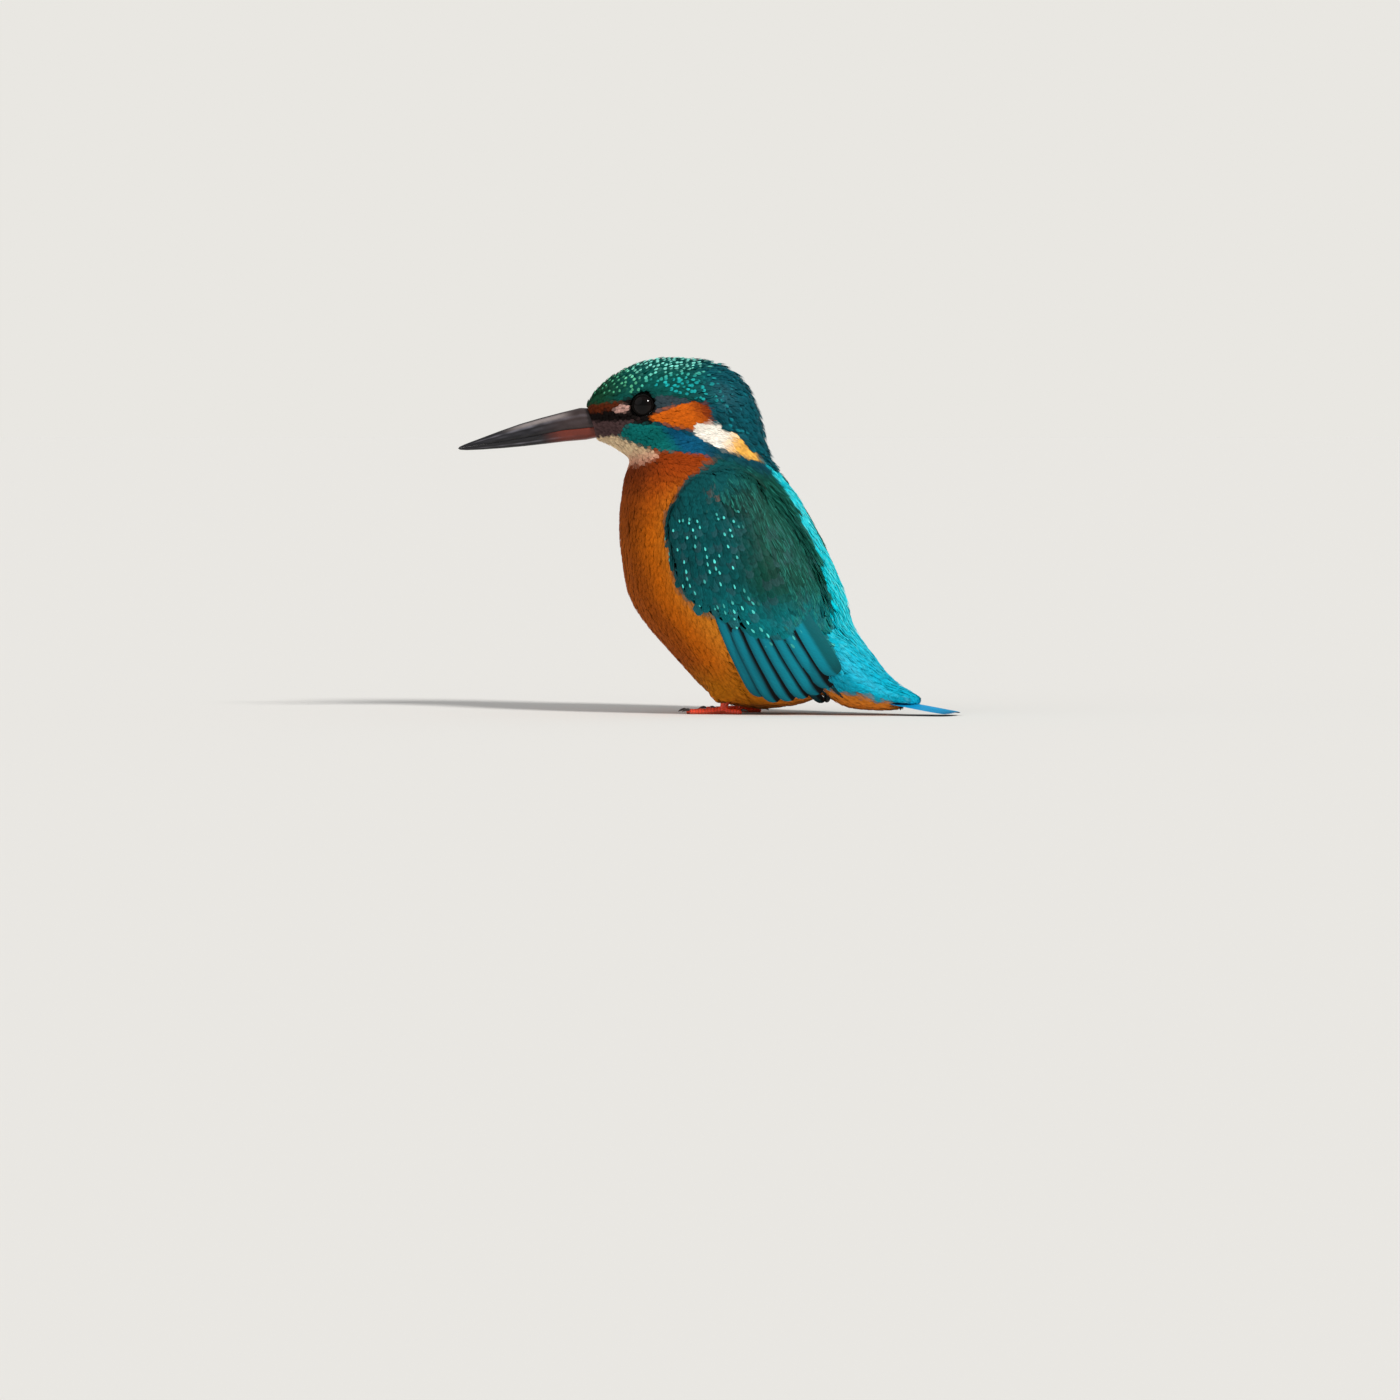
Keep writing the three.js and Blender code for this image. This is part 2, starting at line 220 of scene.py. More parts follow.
def pointsOf(mesh):
    points = np.zeros(len(mesh.vertices) * 3)
    mesh.vertices.foreach_get("co", points)
    return points.reshape(-1, 3)


def normalsOf(mesh):
    normals = np.zeros(len(mesh.vertices) * 3, np.float32)
    mesh.vertex_normals.foreach_get("vector", normals)
    return normals.reshape(-1, 3).astype(float)


def ballOf(sides, rings, radius=1):
    ball = bmesh.new()
    bmesh.ops.create_uvsphere(ball, u_segments=sides, v_segments=rings, radius=radius)
    return ball


def fromPole(height):
    # the angle down from the top of a ball one across
    return math.acos(max(-1, min(1, height)))


def aimed(way):
    # turns a shape's own upward axis to this way
    return Vector(way).to_track_quat("Z", "Y").to_matrix().to_4x4()


def absorb(whole, part):
    held = bpy.data.meshes.new("held")
    part.to_mesh(held)
    part.free()
    whole.from_mesh(held)
    bpy.data.meshes.remove(held)


def shellOf(names, grow):
    # copies of solids, welded and swollen a little so that neighbours run together
    whole = bmesh.new()
    for name in names:
        part = bmesh.new()
        part.from_mesh(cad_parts[name].data)
        bmesh.ops.scale(part, vec=(perMetre, perMetre, perMetre), verts=part.verts)
        bmesh.ops.remove_doubles(part, verts=part.verts, dist=0.002)
        bmesh.ops.recalc_face_normals(part, faces=part.faces)
        part.normal_update()
        for vert in part.verts:
            vert.co += vert.normal * grow
        absorb(whole, part)
    return whole


def remeshed(shape, voxel, rounds, factor=0.5):
    # one closed surface of even small faces, smoothed
    mesh = bpy.data.meshes.new("rough")
    shape.to_mesh(mesh)
    shape.free()
    helper = placed("rough", mesh)
    remesh = helper.modifiers.new("remesh", "REMESH")
    remesh.mode = "VOXEL"
    remesh.voxel_size = voxel
    soften = helper.modifiers.new("soften", "SMOOTH")
    soften.factor = factor
    soften.iterations = rounds
    view = bpy.context.evaluated_depsgraph_get()
    made = bpy.data.meshes.new_from_object(helper.evaluated_get(view))
    bpy.data.objects.remove(helper)
    bpy.data.meshes.remove(mesh)
    return made


def wrapped(plan):
    # a plan's solids as one closed surface
    return remeshed(shellOf(plan["solids"], plan["grow"]), plan["voxel"], plan["rounds"])


def filled(plan):
    # the same, with hollows narrower than twice the growth closed over
    swollen = wrapped(plan)
    shrunk = pointsOf(swollen) - normalsOf(swollen) * plan["grow"]
    swollen.vertices.foreach_set("co", shrunk.astype(np.float32).ravel())
    shape = bmesh.new()
    shape.from_mesh(swollen)
    bpy.data.meshes.remove(swollen)
    return remeshed(shape, plan["voxel"], plan["rounds"])


def treeOf(points, mesh):
    return BVHTree.FromPolygons([tuple(p) for p in points], [tuple(f.vertices) for f in mesh.polygons])


# Outlines on the side of the head, back from the bill base and up.
faceMarks = {
    "crown": [(-8, 7.7), (.7, 6.4), (2.9, 7), (8.2, 6.5), (12.3, 6.1), (15.8, 6.9), (19.4, 5.9),
              (20.9, 4.6), (26.1, 3.1), (32.1, 2.4), (34.1, .2), (34.5, -3), (34.2, -5.5), (37.7, -7.8),
              (41.6, -12.2), (46.6, -19.1), (70, -19), (70, 40), (-8, 40)],
    "throat": [(-9.7, -1.5), (-1.8, -3), (5.6, -3.6), (7.9, -4.1), (12.4, -7.4), (16.1, -9.7),
               (18.1, -11.3), (15.9, -12.8), (12.3, -13.5), (10.1, -13.4), (5.7, -13.9), (2, -22),
               (-12, -22)],
    "malar": [(6.9, -2.2), (9.4, -1.7), (12.9, -1.6), (17.5, -2.3), (21.3, -4), (25.7, -6.1), (28.6, -8.6),
              (32.7, -12.6), (34, -14.5), (32.9, -15), (26.5, -12.7), (21.9, -11.5), (16.8, -9.7),
              (13.1, -7.5), (10.1, -5.5), (7.6, -4)],
    "ear": [(16.8, -.6), (20.8, .7), (25.7, 1.1), (31.2, 1.4), (33.6, -.4), (34.1, -3.2), (33.3, -5.2),
            (30.7, -5), (28.4, -6.3), (25.2, -5.2), (21.5, -3.2), (18.3, -1.9)],
    "dusk": [(19.6, 4.9), (24.2, 3.9), (30.7, 2.2), (33.6, 2.8), (34.3, .1), (30.6, 1.5), (25.7, 1.2),
             (20.9, .9), (18.9, .6)],
    "neckPatch": [(28.1, -6.7), (29.8, -4.6), (34, -5.2), (38, -7.2), (41, -10.3), (43.9, -13.6),
                  (47, -19.3), (44.5, -18.8), (39.7, -16.2), (34.7, -13.2), (31, -10.4)],
    "eyeLine": [(-.4, 4.4), (3.1, 4.5), (6.5, 4.7), (9.3, 4.9), (12.9, 5.8), (15.8, 6.5), (18.4, 5.8),
                (19.5, 4), (18.9, 1.4), (17, -.5), (13, -.7), (8.3, -.3), (1.6, .6), (-2.3, 1.3)],
    "gape": [(-9, 2.4), (-.9, 1.5), (8.4, 0), (14.3, -.8), (10.8, -1.5), (8, -3.7), (5.6, -3.8),
             (-1.8, -3.2), (-9.7, -1.7)],
    "lores": [(-.6, 4.2), (0, 5.6), (3.4, 5.9), (7.2, 5.6), (10.6, 5), (9.8, 4.2), (7.4, 3.4), (3.2, 3.4)],
    "palePatch": [(8.1, 3.3), (10.2, 4.3), (12.3, 3.7), (11.7, 2.5), (9.4, 1.9)],
}

plumageCodes = {
    "crown": "#03524c", "crownBack": "#03505c", "crownTip": "#8cf8e6", "crownSide": "#18b0b0",
    "crownFront": "#5cc898", "crownNape": "#0c8290", "forehead": "#11472e", "ear": "#d8650f",
    "earBack": "#7a2c0c", "neckPatch": "#fff6e8", "neckBuff": "#f4b450", "malarFront": "#057672",
    "malarMiddle": "#05587c", "malarBack": "#054250", "lores": "#5c240a", "palePatch": "#c99c90",
    "eyeLine": "#100907", "gape": "#564040", "throat": "#fbdcb0", "throatLow": "#e2a184", "dusk": "#35454c",
    "breastTop": "#9c3c06", "breast": "#da6e08", "flankLit": "#ff9a2a", "breastFrontShade": "#74300a",
    "belly": "#c6740f", "vent": "#e88628", "mantle": "#0a4a48", "scapular": "#0a4438", "covert": "#055154",
    "spot": "#5ceee4", "covertLow": "#03787e", "covertGrey": "#41606a", "stripe": "#00c8d8",
    "stripeHighlight": "#7cf6f4",
    "rump": "#02b2d0", "web": "#067e90", "webDark": "#050c0e", "tail": "#0e9cd2", "tailDark": "#0c4a86",
}
plumage = {part: linear(code) for part, code in plumageCodes.items()}

# Outlines as seen from the side, along and up: all the blue and green, and the wing.
upperOutline = [(-1, 69.8), (-5, 66), (-8.4, 64), (0, 55), (8, 40), (20, 25), (24, 15), (28, 8), (36, 6.5),
                (46, 4.2), (58, 1.8), (90, 0), (90, 110), (10, 110), (4, 73)]
quillOutline = [(-2, 32), (7, 8), (10, 3), (20, .5), (27, 2), (32, 8), (34, 14), (28, 24), (10, 32)]
wingOutline = [(-8.4, 64), (-14.8, 54.5), (-12.2, 40), (-6.6, 31.5), (10, 23.2), (24.5, 17.4), (30.6, 24),
               (29.4, 35), (23.4, 50), (15, 61.5), (3, 68)]

# Half the width of the bright back stripe at each height.
stripeHalf = [(0, 20), (12, 18), (17, 12), (22, 8), (31, 5.8), (45, 5), (58, 3.8), (66, 2.8), (76, 2)]


def sideOf(points):
    return -math.sin(viewTurn) * np.abs(points[:, 0]) + math.cos(viewTurn) * points[:, 1]


def table(value, pairs):
    # runs in straight lines through the pairs of a value and its result
    return np.interp(value, *np.transpose(pairs))


def wobble(points, size, seed):
    # a cheap soft noise from -1 to 1
    a = np.sin(points[:, 0] / size * 1.7 + points[:, 1] / size * 2.3 + seed)
    b = np.sin(points[:, 1] / size * 1.9 - points[:, 2] / size * 2.1 + seed * 1.7)
    c = np.sin(points[:, 2] / size * 2.6 + points[:, 0] / size * 1.3 + seed * 2.9)
    return (a + b + c) / 3


def regions(points):
    # how far each point belongs to each part of the plumage
    local = toHead(points)
    y = local[:, 1] + 0.35 * wobble(points, 0.9, 1)
    z = local[:, 2] + 0.35 * wobble(points, 0.9, 4)
    side = sideOf(points)
    up = points[:, 2]
    width = np.abs(points[:, 0])
    marks = {key: inside(outline, y, z, 0.9) for key, outline in faceMarks.items()}
    marks["neckPatch"] = marks["neckPatch"] * smooth(2.5, 5.5, width)
    headOnly = smooth(-25, -20, z) * smooth(60, 64, up)
    shift = 0.7 * wobble(points, 1.5, 2)
    back = inside(upperOutline, side + shift, up + shift, 1.6)
    stripe = back * smooth(0.8, -0.8, width - table(up, stripeHalf) + 0.6 * wobble(points, 1.2, 7))
    wing = inside(wingOutline, side, up, 1.0) * smooth(4, 6, width)
    return {"marks": marks, "head": headOnly, "back": back, "stripe": stripe, "wing": wing, "local": local}


# Soft patches on the wing: along, up, their half sizes, how solid they are and where they end.
wingPatches = {"#0a2c24": (5, 59.5, 6, 4, 0.6), "#7c4c3c": (-2.4, 61.4, 1.6, 0.8, 0.7)}


def wingTones(points):
    side, up = sideOf(points), points[:, 2]
    tones = mix(plumage["covert"], plumage["covertLow"], smooth(42, 24, up))
    tones = mix(tones, plumage["scapular"], smooth(0, 12, side) * smooth(27, 40, up))
    greyShare = 0.3 * smooth(0.1, 0.6, wobble(points, 1.5, 21)) * smooth(58, 50, up)
    tones = mix(tones, plumage["covertGrey"], greyShare)
    for code, (along, high, wide, tall, core) in wingPatches.items():
        away = np.hypot((side - along) / wide, (up - high) / tall)
        tones = mix(tones, linear(code), 0.7 * smooth(1.2, core, away))
    return tones * (1 + 0.16 * wobble(points, 2.2, 11))[:, None]


def crownTones(y):
    tones = mix(plumage["crown"], plumage["crownBack"], smooth(24, 36, y))
    return mix(tones, plumage["forehead"], smooth(13, 4, y))


# The lower edge of the blue on the side of the head, back from the bill base and up.
chinLine = [(-10, -4), (8, -5), (13, -8), (22, -11.8), (33, -15.3), (46, -24)]


def markings(points):
    zone = regions(points)
    headOnly, back, stripe = zone["head"], zone["back"], zone["stripe"]
    y, z = zone["local"][:, 1], zone["local"][:, 2]
    side, up, width = sideOf(points), points[:, 2], np.abs(points[:, 0])
    tone = plumage
    breast = mix(tone["breast"], tone["breastTop"], smooth(46, 70, up))
    front = table(up, [(5, 2), (20, -8), (32, -17), (45, -21), (58, -21), (68, -17)])
    # painted light: the side of the breast behind its front edge, below the shoulder, is painted a brighter
    # orange
    breast = mix(breast, tone["flankLit"], smooth(2, 12, side - front) * smooth(66, 50, up))
    # painted shade: the breast darkens to brown along its front edge
    breast = mix(breast, tone["breastFrontShade"], smooth(3, -3, side - front) * 0.6)
    breast = mix(breast, tone["belly"], smooth(16, 7, up) * smooth(24, 10, side))
    breast = mix(breast, tone["vent"], smooth(14, 26, points[:, 1]) * smooth(24, 16, up))
    upper = mix(tone["mantle"], tone["scapular"], smooth(60, 40, up))
    lineTone = mix(tone["stripe"], tone["rump"], smooth(34, 10, up))
    colour = mix(breast, upper, back)
    colour = mix(colour, lineTone, stripe)
    forearm = smooth(21.2, 22.2, width) * smooth(22, 26, up) * smooth(66, 62, up)
    colour = mix(colour, wingTones(points), np.maximum(zone["wing"], forearm) * (1 - stripe))
    crown = crownTones(y)
    malar = mix(tone["malarFront"], tone["malarMiddle"], smooth(20, 24, y + 0.4 * (z + 8)))
    malar = mix(malar, tone["malarBack"], smooth(28, 34, y))
    ear = mix(tone["ear"], tone["earBack"], smooth(27, 33, y + 0.5 * z))
    throat = mix(tone["throat"], tone["throatLow"], smooth(-8, -13, z))
    patch = mix(tone["neckPatch"], tone["neckBuff"], smooth(35, 42, y - 0.5 * (z + 9)))
    aboveChin = headOnly * smooth(0, 0.8, z - table(y, chinLine))
    colour = mix(colour, tone["malarBack"], aboveChin * (1 - stripe))
    isUpper = np.maximum(back, aboveChin) * (1 - stripe)
    nearWing = np.clip(2 * inside(wingOutline, side, up, 7), 0, 1) * smooth(4, 6, width)
    colour = mix(colour, wingTones(points), nearWing * isUpper)
    colour = mix(colour, tone["eyeLine"], headOnly * smooth(-3, -2.4, z) * smooth(20, 18, y))
    colour = mix(colour, crown, headOnly * smooth(1.6, 2.4, z - 0.02 * y))
    paints = dict(tone, crown=crown, throat=throat, malar=malar, ear=ear, neckPatch=patch)
    for key, mark in zone["marks"].items():
        share = mark * headOnly
        if key == "malar":
            share = share * (1 - stripe)
        colour = mix(colour, paints[key], share)
    return mix(colour, tone["eyeLine"], smooth(3.8, 3.1, eyeRange(points)) * 0.9)


# Each guide is a place and the way the feathers there point. Head guides are in the head's own axes.
headGuides = [
    ((0, 1, 5.5), (0, .9, .5)), ((4, 3, 4), (.3, 1, .15)), ((0, 7, 10), (0, .85, .5)),
    ((0, 14, 13.5), (0, 1, .2)), ((0, 24, 14.5), (0, 1, -.1)), ((0, 33, 12), (0, .85, -.55)),
    ((0, 40, 6), (0, .55, -.85)), ((0, 45, -4), (0, .25, -1)), ((0, 47, -14), (0, .2, -1)),
    ((8, 10, 8), (.1, 1, .15)), ((9, 20, 11), (0, 1, -.05)), ((11, 32, 6), (0, .9, -.5)),
    ((10, 41, -3), (0, .6, -.8)), ((11, 11, 3), (.1, 1, .1)), ((12, 16, 7), (.05, 1, .1)),
    ((12, 22, 3), (0, 1, -.15)), ((13, 29, -1), (0, .95, -.4)), ((6, 5, -3), (.2, 1, -.15)),
    ((10, 13, -4), (.15, 1, -.15)), ((12, 20, -7), (0, 1, -.4)), ((12.5, 29, -10), (0, .8, -.65)),
    ((12, 37, -9), (0, .75, -.7)), ((9, 44, -14), (-.1, .5, -.85)), ((0, 4, -5), (0, 1, -.35)),
    ((0, 10, -11), (0, .75, -.7)), ((0, 15, -14), (0, .35, -.95)), ((6, 13, -12), (.05, .7, -.75)),
]
bodyGuides = [
    ((0, -24, 68), (0, -.25, -1)), ((0, -28, 55), (0, -.02, -1)), ((0, -28, 42), (0, .1, -1)),
    ((0, -24, 28), (0, .35, -.95)), ((0, -16, 14), (0, .65, -.75)), ((0, -6, 6), (0, .9, -.4)),
    ((0, 6, 1.5), (0, 1, -.05)), ((0, 22, 2), (0, 1, .02)), ((0, 40, 3), (0, 1, .02)),
    ((15, -15, 62), (.2, .05, -1)), ((20, -10, 45), (.05, .15, -1)), ((20, -4, 28), (0, .4, -.9)),
    ((15, 4, 14), (0, .65, -.75)), ((9, 12, 4), (0, .95, -.3)), ((22, 8, 38), (0, .4, -.92)),
    ((19, 18, 24), (0, .6, -.8)), ((14, 26, 10), (0, .85, -.45)), ((0, 17, 70), (0, .45, -.9)),
    ((0, 25, 58), (0, .35, -.95)), ((0, 32, 45), (0, .3, -.95)), ((0, 37, 32), (0, .35, -.93)),
    ((0, 41, 22), (0, .65, -.75)), ((0, 48, 14), (0, .85, -.5)), ((0, 56, 7), (0, .95, -.25)),
    ((8, 45, 10), (0, .9, -.4)), ((13, 36, 14), (0, .75, -.6)), ((14, 12, 66), (.15, .45, -.9)),
    ((20, 16, 52), (.05, .4, -.92)), ((21, 24, 38), (0, .42, -.9)), ((23, 2, 60), (.1, .25, -.95)),
    ((24, 0, 45), (0, .3, -.95)),
]


def guideField(places):
    spots, ways = [], []
    for side in (1, -1):
        flip = np.array([side, 1, 1])
        for spot, way in headGuides:
            spots.append(fromHead(np.array(spot) * flip))
            ways.append(headPlace[:3, :3] @ (np.array(way) * flip))
        for spot, way in bodyGuides:
            spots.append(np.array(spot) * flip)
            ways.append(np.array(way) * flip)
    spots, ways = np.array(spots, float), unit(np.array(ways, float))
    total = np.zeros_like(places)
    for spot, way in zip(spots, ways):
        pull = 1 / (((places - spot) ** 2).sum(1) + 6) ** 2
        total += pull[:, None] * way
    return total


def makeGround(mesh, drop, depth):
    # a surface sunk under the plumage, over which feathers can be led
    outer, normals = pointsOf(mesh), normalsOf(mesh)
    points = outer - normals * drop(outer)[:, None]
    corners = np.array([tuple(face.vertices) for face in mesh.polygons])
    facing, middles = unit(normals[corners].mean(1)), points[corners].mean(1)
    flow = guideField(middles)
    flow = unit(flow - facing * (flow * facing).sum(1, keepdims=True))
    return {"outer": outer, "points": points, "corners": corners, "tree": treeOf(points, mesh),
            "normals": facing, "flow": flow, "depth": depth(middles)}


def evenDepth(places):
    return np.ones(len(places))


skinPlan = {
    "solids": ("head", "neck", "trunk", "rump", "thigh_left", "thigh_right", "wing_coverts_left",
               "wing_coverts_right"),
    "grow": 0.26, "voxel": 0.75, "rounds": 7, "shade": 0.95, "seeds": 190000,
    "mapAngle": 1.15, "mapMargin": 0.003,
    "eye": (8.1, 16.0, 2.9), "eyeAim": (1.0, -0.12, 0.05), "eyeRim": "#0d0908",
    "lid": "#080504", "lidRing": 2.66, "lidThick": 0.26, "lidOut": 2.78,
}


def eyeRange(points):
    # distance from the axis through the nearer eye, for points out at the side of the head
    local = toHead(points)
    local[:, 0] = np.abs(local[:, 0])
    offset = local - np.array(skinPlan["eye"])
    aim = unit(np.array(skinPlan["eyeAim"], float))
    along = offset @ aim
    away = np.linalg.norm(offset - along[:, None] * aim, axis=1)
    return np.where(along > 0.5, away, 50.0)


def coatDepth(points):
    local = toHead(points)
    y, z = local[:, 1], local[:, 2]
    onHead = smooth(58, 64, points[:, 2]) * smooth(-24, -18, z)
    headDepth = table(y, [(-2, 0.2), (2, 0.35), (8, 0.6), (16, 0.8), (30, 1.0), (46, 1.1)])
    headDepth = np.minimum(headDepth, 0.3 + 0.22 * np.maximum(eyeRange(points) - 2.9, 0))
    bodyDepth = table(points[:, 2], [(1, 0.7), (6, 0.9), (20, 1.1), (60, 1.1)])
    bodyDepth = np.minimum(bodyDepth, table(points[:, 1], [(30, 2), (44, 1.2), (58, 0.5)]))
    return mix(bodyDepth[:, None], headDepth[:, None], onHead)[:, 0]


def rimDrop(points):
    # the wing's rear edge sinks level with the back
    side, up = sideOf(points), points[:, 2]
    rear = table(up, [(17, 26), (24, 30.6), (35, 29.4), (50, 23.4), (61.5, 15), (68, 3)])
    onRim = smooth(8, 0, rear - side) * smooth(4, 7, np.abs(points[:, 0]))
    return 2.3 * onRim * smooth(18, 24, up) * smooth(66, 60, up)


envelope = wrapped(skinPlan)
skinGround = makeGround(envelope, lambda points: coatDepth(points) + rimDrop(points), coatDepth)
print("skin envelope:", len(envelope.polygons), "faces")


def lidRing(side):
    ring = bmesh.new()
    start = Matrix.Translation((skinPlan["lidRing"], 0, 0)) @ Matrix.Rotation(math.pi / 2, 4, "X")
    bmesh.ops.create_circle(ring, segments=8, radius=skinPlan["lidThick"], matrix=start)
    bmesh.ops.spin(ring, geom=ring.verts[:] + ring.edges[:], cent=(0, 0, 0), axis=(0, 0, 1),
                   angle=2 * math.pi, steps=40, use_merge=True)
    bmesh.ops.remove_doubles(ring, verts=ring.verts, dist=0.001)
    bmesh.ops.scale(ring, vec=(1.04, 0.96, 1), verts=ring.verts)
    bmesh.ops.recalc_face_normals(ring, faces=ring.faces)
    aim = Vector(skinPlan["eyeAim"]).normalized()
    place = Matrix.Translation(Vector(skinPlan["eye"]) + aim * skinPlan["lidOut"]) @ aimed(aim)
    bmesh.ops.transform(ring, matrix=place, verts=ring.verts)
    if side < 0:
        bmesh.ops.scale(ring, vec=(-1, 1, 1), verts=ring.verts)
        bmesh.ops.reverse_faces(ring, faces=ring.faces)
    bmesh.ops.transform(ring, matrix=headMatrix(), verts=ring.verts)
    return ring


def makeSkin():
    shape = bmesh.new()
    envelope.vertices.foreach_set("co", skinGround["points"].astype(np.float32).ravel())
    shape.from_mesh(envelope)
    plain = len(shape.verts)
    for side in (1, -1):
        absorb(shape, lidRing(side))
    colours = markings(skinGround["outer"]) * skinPlan["shade"]
    colours = mix(colours, linear(skinPlan["eyeRim"]), smooth(3.6, 3.0, eyeRange(skinGround["outer"])))
    lids = repeated(linear(skinPlan["lid"]), len(shape.verts) - plain)
    mesh = meshFromShape("skin", shape, np.vstack([colours, lids]))
    material = surfaceMaterial("down under the plumage", roughness=0.9, size=900, depth=0.2,
                               bumpSize=0.00005, specular=0.08, coat=0)
    skin = finishPiece("skin", mesh, material, skinPlan["solids"])
    bpy.context.view_layer.objects.active = skin
    skin.select_set(True)
    bpy.ops.object.mode_set(mode="EDIT")
    bpy.ops.mesh.select_all(action="SELECT")
    bpy.ops.uv.smart_project(angle_limit=skinPlan["mapAngle"], island_margin=skinPlan["mapMargin"])
    bpy.ops.object.mode_set(mode="OBJECT")
    skin.select_set(False)
    mesh.uv_layers[0].name = "OFBake"
    return skin


skin = makeSkin()
flatMap = np.zeros(len(skin.data.loops) * 2, np.float32)
skin.data.uv_layers["OFBake"].data.foreach_get("uv", flatMap)
flatMap = flatMap.reshape(-1, 2)
loopStarts = np.array([face.loop_start for face in skin.data.polygons])[:len(skinGround["corners"])]
faceMap = (flatMap[loopStarts] + flatMap[loopStarts + 2]) / 2


def nearestOn(places, tree):
    found = [tree.find_nearest(place) for place in places.tolist()]
    return np.array([tuple(f[0]) for f in found]), np.array([f[2] for f in found])


def eased(run, rounds):
    # evens out a run of places or directions between its ends
    for _ in range(rounds):
        run[1:-1] = run[1:-1] * 0.5 + (run[:-2] + run[2:]) * 0.25
    return run


pathSteps = 7


def walk(roots, lengths, swerve, ground=skinGround, ease=2):
    # follows the lie of the plumage over the ground from each root
    here = np.array(roots, float)
    spots, normals = [], []
    for step in range(pathSteps):
        place, index = nearestOn(here, ground["tree"])
        if step == 0:
            depth = ground["depth"][index]
        normal, flow = ground["normals"][index], ground["flow"][index]
        way = flow * np.cos(swerve)[:, None] + np.cross(normal, flow) * np.sin(swerve)[:, None]
        spots.append(place)
        normals.append(normal)
        here = place + way * (lengths / (pathSteps - 1))[:, None]
    spots, normals = eased(np.array(spots), ease), unit(eased(np.array(normals), ease))
    seat = faceMap[nearestOn(spots[0], skinGround["tree"])[1]]
    return {"spots": spots, "normals": normals, "depth": depth, "seat": seat}


def someOf(path, chosen):
    return {"spots": path["spots"][:, chosen], "normals": path["normals"][:, chosen],
            "depth": path["depth"][chosen], "seat": path["seat"][chosen]}


def clearOfEye(plan, roots, lengths):
    # which feathers keep clear of the eye, once those that would cross it are shortened, and their paths
    swerve = chance.normal(0, plan["swerve"], len(roots))
    ranges = np.array([eyeRange(row) for row in walk(roots, lengths, swerve)["spots"]])
    crossed = ranges < skinPlan["lidRing"] + 0.1
    first = np.where(crossed.any(0), crossed.argmax(0), pathSteps)
    reach = np.clip((first - 1) / (pathSteps - 1), 0, 1)
    lengths = np.where(first < pathSteps, lengths * reach, lengths)
    keep = (first > 1) & (lengths > plan["shortest"])
    return keep, lengths[keep], walk(roots[keep], lengths[keep], swerve[keep])


def bladeShape(acrossProfile, upProfile, rings):
    # a closed blade: a ball whose rings take the blade's sections, with its poles at root and tip
    count, sides = len(rings) - 1, len(acrossProfile)
    blade = ballOf(sides, count)
    for vert in blade.verts:
        ring = round(fromPole(vert.co.z) / math.pi * count)
        side = round(math.atan2(vert.co.y, vert.co.x) / (2 * math.pi) * sides) % sides
        along, half, thick = rings[ring]
        vert.co = (acrossProfile[side] * half, along, upProfile[side] * thick)
    bmesh.ops.recalc_face_normals(blade, faces=blade.faces)
    if blade.calc_volume(signed=True) < 0:
        bmesh.ops.reverse_faces(blade, faces=blade.faces)
    bmesh.ops.triangulate(blade, faces=blade.faces)
    points = np.array([tuple(v.co) for v in blade.verts])
    faces = [[v.index for v in f.verts] for f in blade.faces]
    blade.free()
    # the faces come in no fixed order, so they are put in one
    starts = [face.index(min(face)) for face in faces]
    faces = np.array(sorted(face[start:] + face[:start] for face, start in zip(faces, starts)))
    return {"points": points, "faces": faces, "strand": np.zeros(len(points), int), "strands": 1,
            "own": points[:, 0], "lean": points[:, 0]}


def vaneShape(tip):
    rings = [(0, 0, 0), (.14, .5, .6), (.36, .84, 1), (.6, 1, 1), (.8, .92, .85), (.93, tip, .6), (1, 0, .1)]
    return bladeShape([-1, -.5, 0, .5, 1], [0, .7, 1, .7, 0], rings)


def dropShape(start):
    # a small bright drop near the end of a feather
    rings = [(0, 0, .1), (.16, .55, .7), (.4, .9, 1), (.66, 1, 1), (.88, .7, .8), (1, 0, .2)]
    rings = [(start + (1 - start) * along, half, thick) for along, half, thick in rings]
    return bladeShape([-1, 0, 1], [0, 1, 0], rings)


def plumeShape(strands, spread, width, seed):
    # loose barbs that fan from one root, over one broad flat blade that closes the gaps
    dice = np.random.default_rng(seed)
    broad = bladeShape([-1, 0, 1], [0, .6, 0], [(0, 0, 0), (.4, 1, 1), (.78, .8, 1), (1, 0, .1)])
    broad["points"][:, 2] -= 2.6 * broad["points"][:, 1] ** 0.5
    broad["points"] = broad["points"] * (1.2, 0.88, 1)
    broad["lean"] = np.full(len(broad["points"]), 1.0)
    blades = [broad]
    for number in range(strands):
        barb = bladeShape([-1, 0, 1], [0, 1, 0], [(0, 0, 0), (.35, 1, 1), (.78, .7, .8), (1, 0, .1)])
        lean = number / (strands - 1) * 2 - 1
        across, along, up = barb["points"].T
        along = along * (1 - 0.22 * abs(lean) - 0.16 * dice.random())
        bow = lean * spread * (along ** 0.75) + dice.normal(0, 0.08) * along
        barb["points"] = np.column_stack([across * width + bow, along, up + dice.random() * 0.7 * along])
        barb["faces"] = barb["faces"] + sum(len(blade["points"]) for blade in blades)
        barb["strand"] = barb["strand"] + number
        barb["lean"] = np.full(len(across), lean)
        blades.append(barb)
    keys = ("points", "faces", "strand", "own", "lean")
    return dict({key: np.concatenate([blade[key] for blade in blades]) for key in keys}, strands=strands)


def onPath(spots, normals, along):
    # the places and normals at these shares of the way along each path
    at = np.clip(along, 0, 1) * (len(spots) - 1)
    low = np.minimum(at.astype(int), len(spots) - 2)
    part = (at - low).reshape(-1, *[1] * (spots.ndim - 1))
    middle = spots[low] * (1 - part) + spots[low + 1] * part
    return middle, unit(normals[low] * (1 - part) + normals[low + 1] * part), low, part


